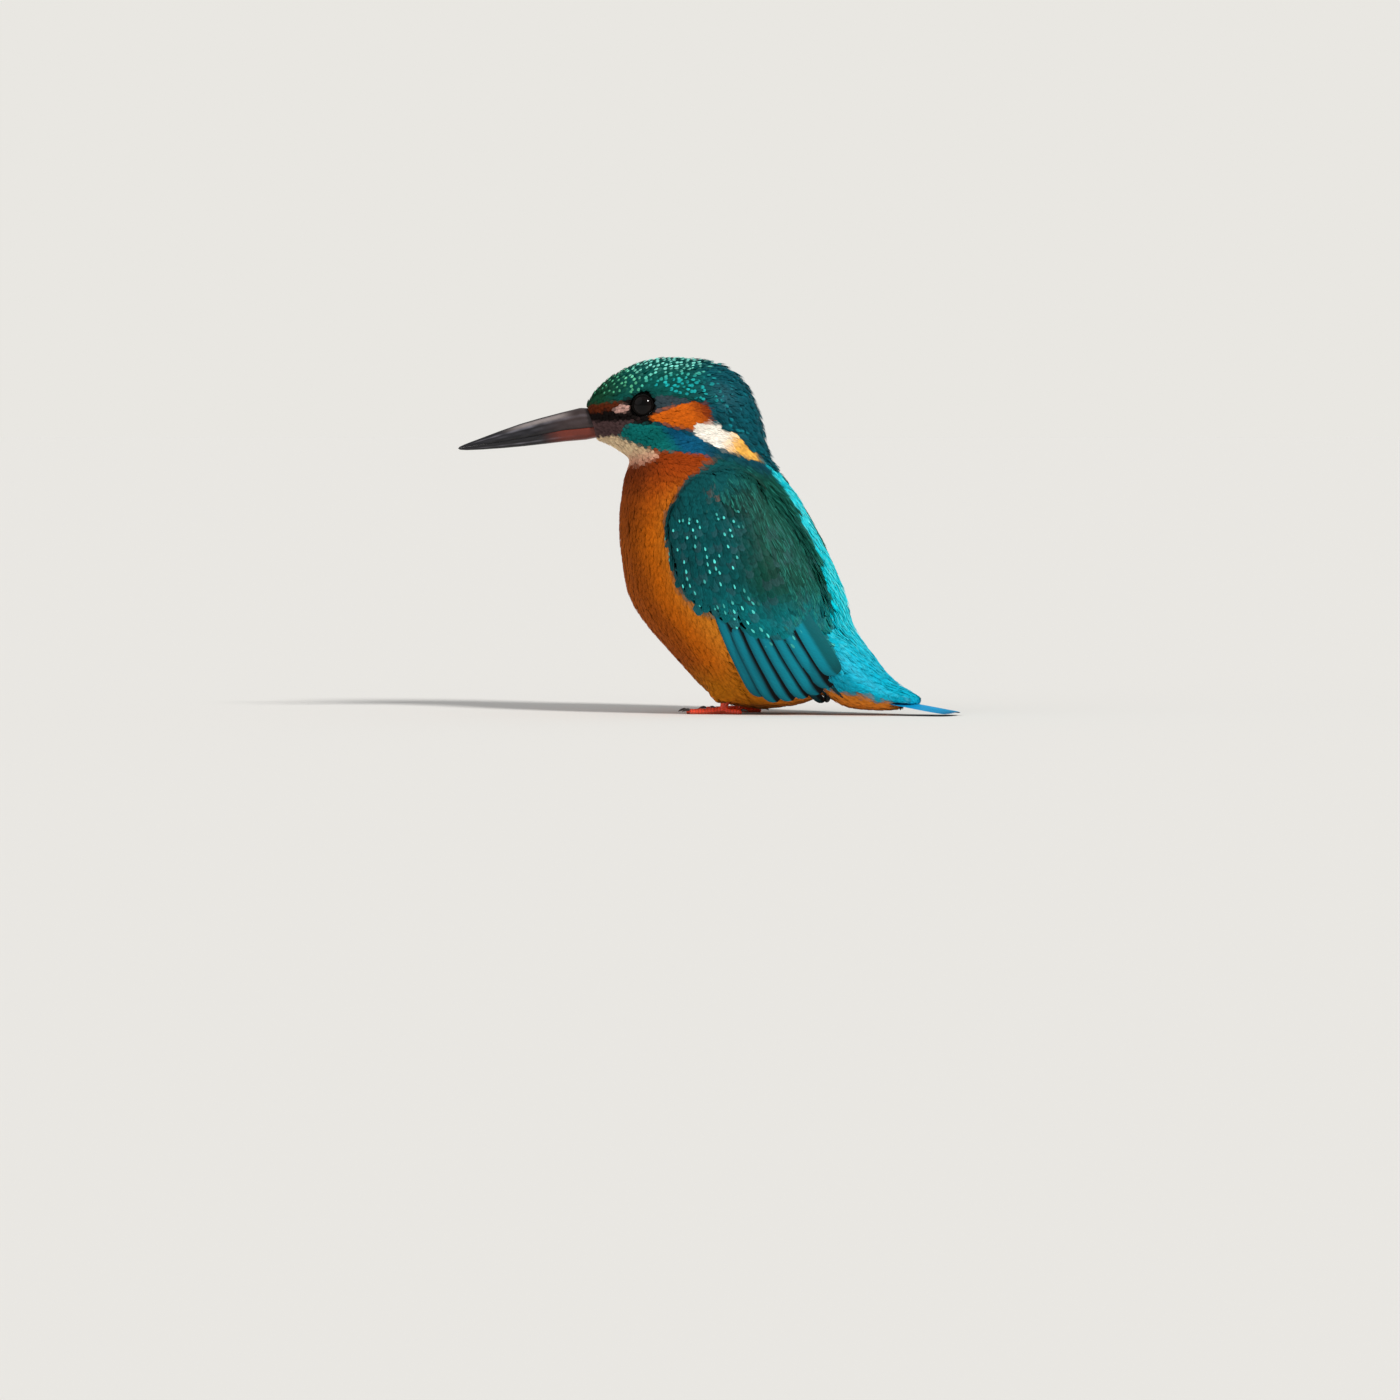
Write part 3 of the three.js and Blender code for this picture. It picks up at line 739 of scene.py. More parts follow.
# A feather's patch as a share of the unwrapped skin's square, and the lowest that plumage comes.
patchSize = 0.003
lowest = 0.12


def lay(shape, path, plan, lengths, widths, base, tipTone=None, tipShare=None):
    # sets one shape along every path, with its colours
    local = shape["points"]
    u, v = local[:, 0], local[:, 1]
    middle, normal, low, part = onPath(path["spots"], path["normals"], v)
    runs = np.gradient(path["spots"], axis=0)
    sideways = unit(np.cross(unit(runs[low] * (1 - part) + runs[low + 1] * part), normal))
    count = len(lengths)
    rise = chance.uniform(plan["lift"][0], plan["lift"][1], count)
    share = np.clip(v, 0, 1)[:, None]
    height = plan["sink"] + (path["depth"] * rise - plan["sink"]) * share ** plan.get("curve", 0.7)
    height = height + local[:, 2][:, None] * plan["thick"] - plan.get("camber", 0) * (u ** 2)[:, None]
    points = middle + normal * height[..., None] + sideways * (u[:, None] * widths)[..., None]
    points[..., 2] = np.maximum(points[..., 2], lowest)
    tone = base * chance.uniform(1 - plan["vary"], 1 + plan["vary"], (count, 1))
    strandTone = chance.uniform(1 - plan["vary"], 1 + plan["vary"], (shape["strands"], count))
    facing = unit(normal + sideways * (shape["own"] * plan["round"])[:, None, None])
    fade = plan["rootShade"] + (1 - plan["rootShade"]) * share ** 0.8
    edge = 1 - plan.get("edgeShade", 0) * (u ** 2)[:, None]
    colours = tone[None] * (fade * edge * strandTone[shape["strand"]])[..., None]
    if tipTone is not None:
        band = plan["tipBand"]
        across = np.clip(1.35 - 1.35 * np.abs(shape["lean"]) / plan.get("tipWide", 9), 0, 1)
        mask = smooth(band[0], band[1], v) * smooth(band[3], band[2], v) * across
        spread = tipShare[shape["strand"]] if tipShare.ndim == 2 else tipShare[None]
        colours = mix(colours, tipTone[None], mask[:, None] * spread)
    bake = path["seat"][None] + patchSize * np.column_stack([u * 0.5, v])[:, None]
    vane = np.column_stack([u * 0.5 + 0.5, v * 2])[:, None] + chance.integers(0, 40, (1, count, 2))
    made = {"points": points, "colours": colours, "bake": bake, "vane": vane, "facing": facing}
    return dict({key: value.transpose(1, 0, 2) for key, value in made.items()}, faces=shape["faces"])


def layThirds(path, plan, lengths, widths, base, tips=None, shares=None, part=True):
    # plumes in three drawings, one for every third root of the part
    laid = []
    strands, spread, width, seed = plan["plume"]
    for kind in range(3):
        mine = part & (np.arange(len(lengths)) % 3 == kind)
        lit = () if tips is None else (tips[mine], shares[..., mine])
        shape = plumeShape(strands, spread, width, seed + kind)
        laid.append(lay(shape, someOf(path, mine), plan, lengths[mine], widths[mine], base[mine], *lit))
    return laid


def finishCoat(name, kind, layers, replaced=()):
    # one mesh from many laid feathers, in metres
    whole = {key: np.vstack([layer[key].reshape(-1, layer[key].shape[-1]) for layer in layers])
             for key in ("points", "colours", "bake", "vane", "facing")}
    faces, used = [], 0
    for layer in layers:
        count, size = layer["points"].shape[:2]
        starts = used + np.arange(count)[:, None, None] * size
        faces.append((layer["faces"][None] + starts).reshape(-1, 3))
        used += count * size
    faces = np.vstack(faces)
    mesh = bpy.data.meshes.new(name)
    mesh.vertices.add(used)
    mesh.vertices.foreach_set("co", (whole["points"] * metre).astype(np.float32).ravel())
    mesh.loops.add(len(faces) * 3)
    mesh.loops.foreach_set("vertex_index", faces.astype(np.int32).ravel())
    mesh.polygons.add(len(faces))
    mesh.polygons.foreach_set("loop_start", np.arange(0, len(faces) * 3, 3, dtype=np.int32))
    mesh.update(calc_edges=True)
    for layerName, key in (("OFBake", "bake"), ("vane", "vane")):
        uv = mesh.uv_layers.new(name=layerName)
        uv.data.foreach_set("uv", whole[key][faces.ravel()].astype(np.float32).ravel())
    paintMesh(mesh, whole["colours"])
    mesh.polygons.foreach_set("use_smooth", [True] * len(mesh.polygons))
    mesh.normals_split_custom_set_from_vertices(whole["facing"].tolist())
    return finishPiece(name, mesh, coatMaterials[kind], replaced)


def scattered(ground, count):
    # random points over a surface of four-sided faces
    corners = ground["points"][ground["corners"]]
    first = np.cross(corners[:, 1] - corners[:, 0], corners[:, 2] - corners[:, 0])
    second = np.cross(corners[:, 2] - corners[:, 0], corners[:, 3] - corners[:, 0])
    area = np.linalg.norm(first, axis=1) + np.linalg.norm(second, axis=1)
    pick = chance.choice(len(area), count, p=area / area.sum())
    a, b = chance.random((2, count, 1))
    bottom = corners[pick, 0] * (1 - a) + corners[pick, 1] * a
    top = corners[pick, 3] * (1 - a) + corners[pick, 2] * a
    return bottom * (1 - b) + top * b


def spaced(points, gap):
    # keeps points that stand at least a gap apart
    cells, kept = {}, []
    keys = np.floor(points / gap).astype(int).tolist()
    near = [(i, j, k) for i in (-1, 0, 1) for j in (-1, 0, 1) for k in (-1, 0, 1)]
    for number, (key, point) in enumerate(zip(keys, points.tolist())):
        clash = False
        for i, j, k in near:
            for other in cells.get((key[0] + i, key[1] + j, key[2] + k), ()):
                apart = (other[0] - point[0]) ** 2 + (other[1] - point[1]) ** 2 + (other[2] - point[2]) ** 2
                clash = clash or apart < gap * gap
            if clash:
                break
        if not clash:
            cells.setdefault(tuple(key), []).append(point)
            kept.append(number)
    return points[kept]


def grown(plan, places, ground=skinGround, ease=2):
    # roots among these places, with the length, width and path of the feather on each
    roots = spaced(places, plan["gap"])
    axis, shares = plan["shorter"]
    lengths = chance.uniform(*plan["length"], len(roots)) * table(roots[:, axis], shares)
    path = walk(roots, lengths, chance.normal(0, plan["swerve"], len(roots)), ground, ease)
    return roots, lengths, np.full(len(roots), plan["width"]), path


seeds = scattered(skinGround, skinPlan["seeds"])
seedZone = regions(seeds)
seedCrown = seedZone["marks"]["crown"] * seedZone["head"]
print("seeds:", len(seeds))


# Each coat's roughness, sheen, barbs across a vane, their depth and the gleam.
coatLooks = {
    "soft": ("soft breast plumage", 0.8, 0.04, 9, 0.15, 0.1),
    "crown": ("barred crown feathers", 0.5, 0.0, 9, 0.2, 0.09),
    "silk": ("silky back plumes", 0.45, 0.0, 9, 0.18, 0.09),
    "wing": ("wing covert feathers", 0.5, 0.0, 10, 0.2, 0.07),
    "flight": ("flight feather web", 0.45, 0.0, 14, 0.1, 0.11),
}
coatMaterials = {kind: plumageMaterial(*look) for kind, look in coatLooks.items()}

breastPlan = {"gap": 0.84, "length": (4.0, 6.0), "width": 0.74, "sink": -0.1, "lift": (0.9, 1.1),
              "thick": 0.09, "vary": 0.09, "rootShade": 0.9, "swerve": 0.12, "curve": 0.45, "round": 0.3,
              "plume": (7, 1.0, 0.2, 10), "shorter": (2, [(0, 0.7), (10, 0.85), (30, 1)])}


def layBreast():
    zone = seedZone
    pick = (zone["head"] < 0.5) & (zone["back"] < 0.5) & (zone["wing"] < 0.75) & (zone["stripe"] < 0.5)
    roots, lengths, widths, path = grown(breastPlan, seeds[pick])
    ends, up = path["spots"][-1], roots[:, 2]
    along, high = sideOf(ends), ends[:, 2]
    under = np.maximum(inside(quillOutline, along, high, 0.8), inside(wingOutline, along, high, 0.8))
    path["depth"] = path["depth"] * (1 - 0.75 * under * smooth(5, 8, np.abs(ends[:, 0])))
    base = markings(path["spots"][4])
    zones = {"breast_plumes": up > 34, "belly_plumes": (up > 12) & (up <= 34), "vent_plumes": up <= 12}
    for name, part in zones.items():
        finishCoat(name, "soft", layThirds(path, breastPlan, lengths, widths, base, part=part))


layBreast()

backPlan = {"gap": 1.05, "length": (5.0, 7.5), "width": 0.85, "sink": -0.2, "lift": (0.88, 1.1),
            "thick": 0.12, "vary": 0.12, "rootShade": 0.7, "swerve": 0.09, "tipBand": (.3, .8, 1.2, 1.3),
            "curve": 0.5, "round": 0.4, "plume": (7, 0.95, 0.2, 20),
            "shorter": (1, [(0, 1), (40, 1), (50, 0.8), (58, 0.6)])}


def layBack():
    onPatch = seedZone["marks"]["neckPatch"] * seedZone["head"]
    pick = (seedZone["stripe"] > 0.5) & (seedCrown < 0.5) & (onPatch < 0.5)
    roots, lengths, widths, path = grown(backPlan, seeds[pick])
    # painted highlight: scattered strands of the back plumes are painted pale cyan, more of them higher up
    # and near the middle of the back
    glow = repeated(plumage["stripeHighlight"], len(roots))
    share = chance.uniform(0, 1, (7, len(roots))) ** 3 * smooth(4, 34, roots[:, 2]) * 0.9
    share *= 0.6 + 0.5 * smooth(4, 1, np.abs(roots[:, 0]))
    laid = layThirds(path, backPlan, lengths, widths, markings(path["spots"][4]), glow, share)
    finishCoat("back_plumes", "silk", laid)


layBack()

facePlan = {"gap": 0.72, "length": (2.6, 3.6), "sink": -0.1, "lift": (0.85, 1.08), "thick": 0.08,
            "vary": 0.09, "rootShade": 0.92, "swerve": 0.12, "curve": 0.5, "round": 0.3,
            "shortest": 0.7, "plume": (5, 1.0, 0.24, 40)}


def layFace():
    local = seedZone["local"]
    underBill = (local[:, 1] < 1.2) & (np.abs(local[:, 0]) < 4.2) & (np.abs(local[:, 2] - .8) < 4)
    pick = (seedZone["head"] > 0.5) & (seedCrown < 0.5) & ~underBill & (eyeRange(seeds) > 3.05)
    roots = spaced(seeds[pick], facePlan["gap"])
    y = toHead(roots)[:, 1]
    low = np.maximum(smooth(0, -2.5, toHead(roots)[:, 2] - table(y, chinLine)), smooth(24, 30, y))
    lengths = chance.uniform(*facePlan["length"], len(roots))
    lengths *= table(y, [(0, .45), (8, .6), (18, .85), (32, 1.25)])
    lengths *= 1 + 0.6 * low
    keep, lengths, path = clearOfEye(facePlan, roots, lengths)
    roots, low = roots[keep], low[keep]
    base = markings(path["spots"][4])
    widths = table(toHead(roots)[:, 1], [(0, .4), (10, .48), (25, .62), (40, .75)]) * (1 + 0.25 * low)
    left = toHead(roots)[:, 0] > 0
    for name, part in (("face_feathers_left", left), ("face_feathers_right", ~left)):
        finishCoat(name, "soft", layThirds(path, facePlan, lengths, widths, base, part=part))


layFace()

crownPlan = {"centre": (0, 22, -14), "rows": (30, 205), "halfRow": 78, "rowGap": 1.62, "columnGap": 1.2,
             "jitter": 0.17, "length": 4.0, "sink": -0.1, "lift": (0.92, 1.12), "thick": 0.14,
             "vary": 0.12, "rootShade": 0.6, "swerve": 0.07, "camber": 0.1, "edgeShade": 0.3,
             "tipBand": (.74, .84, 1.0, 1.1), "tipWide": 0.75, "curve": 0.6, "round": 0.4,
             "shortest": 1, "plume": (7, 0.85, 0.17, 60)}


def crownRoots():
    # staggered rows from the forehead over the crown and down the nape
    centre = fromHead(np.array(crownPlan["centre"], float))

    def outward(slant, tilt):
        # where a line from the middle of the head, this far back and to the side, meets the skin
        level, rise = -math.cos(slant), math.sin(slant)
        way = np.array([math.sin(tilt), level * math.cos(tilt), rise * math.cos(tilt)])
        way = headPlace[:3, :3] @ way
        return skinGround["tree"].ray_cast(Vector(centre + 60 * way), Vector(-way))[0]

    roots, slant, row = [], math.radians(crownPlan["rows"][0]), 0
    while slant < math.radians(crownPlan["rows"][1]):
        hit = outward(slant, 0)
        reach = (hit - Vector(centre)).length if hit else 15
        tilt = -math.radians(crownPlan["halfRow"]) + (row % 2) * 0.5 * crownPlan["columnGap"] / reach
        while tilt < math.radians(crownPlan["halfRow"]):
            hit = outward(slant, tilt)
            if hit:
                roots.append(tuple(hit))
            tilt += crownPlan["columnGap"] / reach
        slant += crownPlan["rowGap"] / reach
        row += 1
    return np.array(roots)


def layCrown():
    roots = crownRoots()
    roots = roots + chance.normal(0, crownPlan["jitter"], roots.shape)
    zone = regions(roots)
    keep = (zone["marks"]["crown"] * zone["head"] > 0.35) & (eyeRange(roots) > 3.3)
    keep &= zone["local"][:, 1] > 0.8
    roots, local = roots[keep], zone["local"][keep]
    lengths = crownPlan["length"] * table(local[:, 1], [(0, .5), (6, .7), (14, .95), (35, 1.15), (46, 1.4)])
    lengths *= chance.uniform(0.9, 1.1, len(roots))
    clear, lengths, path = clearOfEye(crownPlan, roots, lengths)
    roots, y, z = roots[clear], local[clear, 1], local[clear, 2]
    path["depth"] = path["depth"] * table(y, [(0, 1), (20, 1), (30, 1.2), (46, 1.3)])
    widths = table(y, [(0, .55), (8, .72), (18, .9), (40, 1.1)])
    base = crownTones(y) * (1 + 0.12 * wobble(roots, 2.0, 5))[:, None]
    tips = repeated(plumage["crownFront"], len(roots))
    # the spots high on the top of the crown are painted pale mint: partly their own colour, partly painted
    # highlight
    tips = mix(tips, plumage["crownTip"], smooth(7, 17, y) * smooth(8, 12, z))
    tips = mix(tips, plumage["crownSide"], smooth(12, 7, z) * smooth(11, 17, y))
    tips = mix(tips, plumage["crownNape"], smooth(29, 37, y)) * chance.uniform(0.7, 1.1, (len(roots), 1))
    share = chance.uniform(0.55, 1, len(roots))
    share *= table(y, [(0, .6), (10, .95), (26, .9), (34, .5), (44, .35)])
    fringe = dict(crownPlan, thick=0.08, camber=0, edgeShade=0, lift=(1.0, 1.9), rootShade=0.75)
    laid = [lay(vaneShape(0.78), path, crownPlan, lengths * 0.94, widths, base, tips, share * 0.25)]
    laid += layThirds(path, fringe, lengths, widths, base, tips, share * 0.4)
    lit = share > chance.uniform(0.2, 0.75, len(roots))
    bars = dict(crownPlan, lift=(1.28, 1.5), thick=0.13, camber=0, edgeShade=0, rootShade=0.9)
    spotWidths = table(y, [(0, .3), (8, .4), (16, .5), (28, .46), (40, .4)])
    spotWidths *= chance.uniform(0.65, 1.3, len(roots))
    laid.append(lay(dropShape(0.72), someOf(path, lit), bars, lengths[lit], spotWidths[lit],
                    tips[lit] * (0.45 + 0.55 * share[lit])[:, None]))
    finishCoat("crown_feathers", "crown", laid)


layCrown()


wingPlan = {"solids": ("wing_coverts_left", "wing_coverts_right", "wing_secondaries_left",
                       "wing_secondaries_right", "wing_primaries_left", "wing_primaries_right", "trunk",
                       "rump"),
            "grow": 0.22, "voxel": 0.8, "rounds": 5, "sunk": 1.0}
wingShell = wrapped(wingPlan)
wingTree = treeOf(pointsOf(wingShell), wingShell)


def fromSide(along, up, side, tree):
    # where a line of sight from the bird's side, through this place, meets the surface
    start = np.array([-along * math.sin(viewTurn), along * math.cos(viewTurn), up]) + 80 * sideOut
    way = -sideOut
    if side < 0:
        start, way = start * (-1, 1, 1), way * (-1, 1, 1)
    return tree.ray_cast(Vector(start), Vector(way))[:2]


wingGround = makeGround(wingShell, lambda points: wingPlan["sunk"] + rimDrop(points), evenDepth)

covertPlan = {"start": (-2.0, 68.0), "flow": (0.36, -0.93), "down": (-4.0, 54), "halfRow": 40,
              "firstStep": 1.5, "lastStep": 2.5, "columnGap": 2.0, "jitter": 0.12, "overlap": 3.1,
              "length": (0.92, 1.1), "half": 0.62, "barbHalf": 0.66, "spotted": 0.42, "sink": -0.1,
              "lift": (0.85, 0.95), "thick": 0.1, "vary": 0.08, "rootShade": 0.8, "swerve": 0.06,
              "camber": 0.1, "edgeShade": 0.15, "curve": 0.6, "round": 0.3, "plume": (9, 0.86, 0.13, 50)}


def covertRoots(side):
    # staggered rows down the wing, as seen from the side, with wider steps lower down
    plan, flow = covertPlan, np.array(covertPlan["flow"])
    crossing = np.array([-flow[1], flow[0]])
    roots, rowNumber, down = [], 0, plan["down"][0]
    while down < plan["down"][1]:
        step = table(down, [(0, plan["firstStep"]), (50, plan["lastStep"])])
        gap = plan["columnGap"] * step / 2.0
        sideways = -plan["halfRow"] + (rowNumber % 2) * gap / 2
        while sideways < plan["halfRow"]:
            along, up = np.array(plan["start"]) + flow * down + crossing * sideways
            within = inside(wingOutline, np.array([along]), np.array([up]), 1.6)[0] > 0.2
            place, facing = fromSide(along, up, side, wingGround["tree"])
            if within and place is not None and abs(facing.x) > 0.3:
                if abs(place.x) > table(up, [(40, 4), (56, 13)]):
                    roots.append((place.x, place.y, place.z, step))
            sideways += gap
        down += step
        rowNumber += 1
    return np.array(roots)


def layCoverts():
    for side, name in ((1, "wing_feathers_left"), (-1, "wing_feathers_right")):
        found = covertRoots(side)
        roots, step = found[:, :3] + chance.normal(0, covertPlan["jitter"], (len(found), 3)), found[:, 3]
        keep = regions(roots)["stripe"] < 0.6
        roots, step = roots[keep], step[keep]
        along, up = sideOf(roots), roots[:, 2]
        lengths = step * covertPlan["overlap"] * chance.uniform(*covertPlan["length"], len(roots))
        run, fall = covertPlan["flow"]
        ahead = inside(wingOutline, along + run * lengths, up + fall * lengths, 3)
        lengths *= 1 - 0.45 * smooth(0.6, 0.2, ahead) * smooth(6, 1, along)
        path = walk(roots, lengths, chance.normal(0, covertPlan["swerve"], len(roots)), wingGround)
        base = wingTones(path["spots"][2])
        edge = table(up, [(18, 14), (31, -6), (40, -12), (54, -14.5), (64, -8)])
        spotty = smooth(19, 14, along - edge) * smooth(61, 57, up) * smooth(25, 28, up)
        spotty = np.maximum(spotty, smooth(23, 24.5, up) * smooth(30, 28.5, up) * 0.8)
        chosen = chance.random(len(roots)) < covertPlan["spotted"]
        share = spotty * np.where(chosen, chance.uniform(0.6, 1, len(roots)), 0.0)
        barbs = dict(covertPlan, lift=(0.98, 1.14), thick=0.07, camber=0, edgeShade=0, vary=0.13)
        laid = [lay(vaneShape(0.7), path, covertPlan, lengths * 0.9, step * covertPlan["half"], base)]
        laid += layThirds(path, barbs, lengths, step * covertPlan["barbHalf"], base)
        spotted = share > 0.1
        drops = dict(barbs, lift=(1.12, 1.2), thick=0.14, vary=0.1)
        laid.append(lay(dropShape(0.8), someOf(path, spotted), drops, lengths[spotted],
                        chance.uniform(0.22, 0.34, spotted.sum()), plumage["spot"] * share[spotted][:, None]))
        finishCoat(name, "wing", laid)


layCoverts()

# The wings and back drawn together, so that loose plumes bridge the hollow between them.
bridgePlan = {"solids": ("trunk", "rump", "neck", "wing_coverts_left", "wing_coverts_right"), "grow": 4.5,
              "voxel": 0.9, "rounds": 6, "sunk": 0.9, "seeds": 60000}


def bridgeDrop(points):
    return bridgePlan["sunk"] + rimDrop(points) * smooth(4, 9, np.abs(points[:, 0]))


bridgeShell = filled(bridgePlan)
bridgeGround = makeGround(bridgeShell, bridgeDrop, evenDepth)
bpy.data.meshes.remove(bridgeShell)
bridgeSeeds = scattered(bridgeGround, bridgePlan["seeds"])
bridgeZone = regions(bridgeSeeds)

mantlePlan = {"gap": 1.1, "length": (5.0, 7.0), "width": 0.9, "sink": -0.2, "lift": (0.88, 1.05),
              "thick": 0.1, "vary": 0.12, "rootShade": 0.7, "swerve": 0.1, "curve": 0.5, "round": 0.35,
              "plume": (7, 1.0, 0.2, 31), "shorter": (2, [(0, 1), (100, 1)])}


def layMantle():
    pick = (bridgeZone["head"] < 0.5) & (bridgeZone["back"] > 0.5) & (bridgeZone["stripe"] < 0.5)
    pick &= (bridgeZone["wing"] < 0.9) | (bridgeSeeds[:, 2] > 62)
    roots, lengths, widths, path = grown(mantlePlan, bridgeSeeds[pick], bridgeGround)
    shape, base = plumeShape(*mantlePlan["plume"]), markings(path["spots"][4])
    laid = lay(shape, path, mantlePlan, lengths, widths, base)
    finishCoat("mantle_feathers", "wing", [laid])


layMantle()

scapularPlan = {"gap": 1.05, "length": (7.0, 11.0), "width": 0.9, "sink": 0.3, "lift": (1.1, 1.5),
                "thick": 0.08, "vary": 0.2, "rootShade": 0.85, "swerve": 0.1, "tipBand": (.2, .6, 1.2, 1.3),
                "curve": 0.5, "round": 0.35, "plume": (7, 0.9, 0.13, 70), "light": "#2f9080",
                "inward": (-7, 11), "heights": (25, 70), "outward": 3,
                "shorter": (2, [(25, .45), (42, .9), (60, 1)]),
                "rear": [(20, 27), (24, 30.6), (35, 29.4), (50, 23.4), (61.5, 15), (68, 4)]}


def layScapulars():
    # long loose plumes over the rear of each wing, hiding where it meets the back
    plan, up, marks = scapularPlan, bridgeSeeds[:, 2], bridgeZone["marks"]
    inward = table(up, plan["rear"]) - sideOf(bridgeSeeds)
    pick = np.abs(bridgeSeeds[:, 0]) > plan["outward"]
    for value, (low, high) in ((inward, plan["inward"]), (up, plan["heights"])):
        pick &= (value > low) & (value < high)
    pick &= (bridgeZone["back"] > 0.5) & (bridgeZone["stripe"] < 0.12)
    pick &= bridgeZone["head"] * np.maximum(marks["neckPatch"], marks["malar"]) < 0.2
    roots, lengths, widths, path = grown(plan, bridgeSeeds[pick], bridgeGround, ease=4)
    light = repeated(linear(plan["light"]), len(roots))
    share = chance.uniform(0, 1, (7, len(roots))) ** 3 * 0.8
    laid = layThirds(path, plan, lengths, widths, wingTones(path["spots"][2]), light, share)
    finishCoat("scapular_plumes", "wing", laid)


layScapulars()

flightPlan = {
    "tips": ((11.2, 4.9), (15.2, 3.4), (19.4, 3.8), (23.4, 4.6), (27, 5.6), (29.8, 7.6), (31.6, 11.2)),
    "leans": (25, 26.5, 28.5, 30.5, 32, 33, 32), "reach": (33, 25), "half": (2.7, 3.0), "bend": -0.8,
    "primaries": 3, "primaryRoots": ((18, 13), (24, 15)), "primaryTips": ((28.6, 2.6), (34.6, 4.2)),
    "primaryHalf": 1.3, "primaryBend": -0.5, "jump": 1.2, "stack": 0.09, "steps": 16, "thick": 0.13,
    "parting": 0.21, "lowest": 0.1, "under": "#55686a", "primaryOuter": "#0b3a40",
    "primaryInner": "#07090a", "lastInner": "#065a60",
}


def flightShape():
    rings = [(0, 0, 0), (.02, .5, .8), (.12, .78, 1), (.24, .88, 1), (.36, .94, 1), (.48, .98, 1),
             (.6, 1, 1), (.7, 1, .95), (.8, 1, .9), (.88, .97, .8), (.93, .88, .7), (.965, .7, .6),
             (.99, .4, .5), (1, 0, .4)]
    across = [-1, -.72, -.4, -.1, 0, .1, .4, .72, 1, .5, -.5]
    upward = [-.1, .2, .3, .3, 1, .3, .3, .2, -.1, -.5, -.5]
    return bladeShape(across, upward, rings)


def webColours(local, feather):
    # outer web bright, inner web and rim dark
    u, v = local[:, 0], local[:, 1]
    across = u / np.maximum(table(v, [(0, .6), (.5, 1), (.9, .95), (.97, .7), (1, .2)]), 0.1)
    colours = mix(repeated(feather["inner"], len(u)), feather["outer"], smooth(0.18, 0.36, across))
    colours = mix(colours, feather["inner"], smooth(0.9, 1.0, across) * 0.5)
    colours = colours * (1 - feather["tipShade"] * smooth(0.8, 1.0, v))[:, None]
    colours[local[:, 2] < -0.15] = linear(flightPlan["under"])
    return colours


def layFeather(shape, feather, side):
    local = shape["points"]
    u, v = local[:, 0], local[:, 1]
    middle, normal, low = onPath(feather["spots"], feather["normals"], v)[:3]
    sideways = unit(np.cross(unit(np.gradient(feather["spots"], axis=0))[low], normal))
    facing = unit(normal + sideways * (u * 0.3)[:, None])
    facing[local[:, 2] < -0.15] *= -1
    skewed = u + feather["skew"] * (1 - u ** 2)
    rise = feather["rise"] - feather.get("dip", 0) * smooth(0.45, 0.1, v)
    rise = rise + local[:, 2] * flightPlan["thick"] - feather["camber"] * skewed ** 2
    rise = rise + feather.get("tilt", 0) * skewed
    points = middle + normal * rise[:, None] + sideways * (skewed * feather["half"])[:, None]
    points[:, 2] = np.maximum(points[:, 2], flightPlan["lowest"])
    faces = shape["faces"]
    if side < 0:
        points, facing, faces = points * (-1, 1, 1), facing * (-1, 1, 1), faces[:, ::-1]
    seat = faceMap[nearestOn(points[:1], skinGround["tree"])[1][0]]
    made = {"points": points, "colours": webColours(local, feather), "facing": facing,
            "bake": seat + np.column_stack([u * 0.02, v * 0.05]),
            "vane": np.column_stack([v * 6 + u, u * 0.5])}
    return dict({key: value[None] for key, value in made.items()}, faces=faces)


def layFlight(name, feathers, replaced):
    # the set on the left and its mirror image
    shape = flightShape()
    layers = [layFeather(shape, feather, side) for side in (1, -1) for feather in feathers]
    finishCoat(name, "flight", layers, replaced)


def wingQuill(root, tip, bend):
    # a path over the wing, as seen from the side, that carries straight on where it leaves the surface
    spots, normals = [], []
    for t in np.linspace(0, 1, flightPlan["steps"]):
        bow = bend * math.sin(math.pi * t) * 0.5
        along, up = root[0] + (tip[0] - root[0]) * t + bow, root[1] + (tip[1] - root[1]) * t - bow
        place, facing = fromSide(along + flightPlan["parting"], up, 1, wingTree)
        if place is None or (spots and abs((np.array(place) - spots[-1]) @ sideOut) > flightPlan["jump"]):
            last = spots[-1] if spots else np.array([12.0, along, up])
            spots.append(last + (spots[-1] - spots[-2] if len(spots) > 1 else np.zeros(3)))
            normals.append(normals[-1] if normals else sideOut)
        else:
            spots.append(np.array(place))
            normals.append(np.array(facing))
    spots, normals = eased(np.array(spots), 6), eased(np.array(normals), 6)
    return {"spots": spots, "normals": unit(unit(normals) * 0.5 + sideOut * 0.5)}


def between(pair, t):
    first, last = np.array(pair, float)
    return first * (1 - t) + last * t


def layWingQuills():
    plan, feathers = flightPlan, []
    for number in range(plan["primaries"]):
        t = number / (plan["primaries"] - 1)
        root, tip = between(plan["primaryRoots"], t), between(plan["primaryTips"], t)
        feathers.append(dict(wingQuill(root, tip, plan["primaryBend"]), half=plan["primaryHalf"], skew=-0.25,
                             rise=-0.9 + 0.12 * number, camber=0.2, outer=linear(plan["primaryOuter"]),
                             inner=linear(plan["primaryInner"]), tipShade=0.5))
    for number, (tip, lean) in enumerate(zip(plan["tips"], plan["leans"])):
        t = number / (len(plan["tips"]) - 1)
        reach, lean = between(plan["reach"], t), math.radians(lean)
        root = (tip[0] - reach * math.sin(lean), tip[1] + reach * math.cos(lean))
        inner = plumage["webDark"] if t < 1 else linear(plan["lastInner"])
        feathers.append(dict(wingQuill(root, tip, plan["bend"]), half=between(plan["half"], t), skew=-0.18,
                             rise=-0.1 + plan["stack"] * number, camber=0.1, dip=1.6, tilt=0.17,
                             outer=plumage["web"] * (0.9 + 0.25 * t), inner=inner, tipShade=0.35))
    nodes = [name + side for name in ("wing_secondaries", "wing_primaries") for side in ("_left", "_right")]
    layFlight("wing_quills", feathers, nodes)


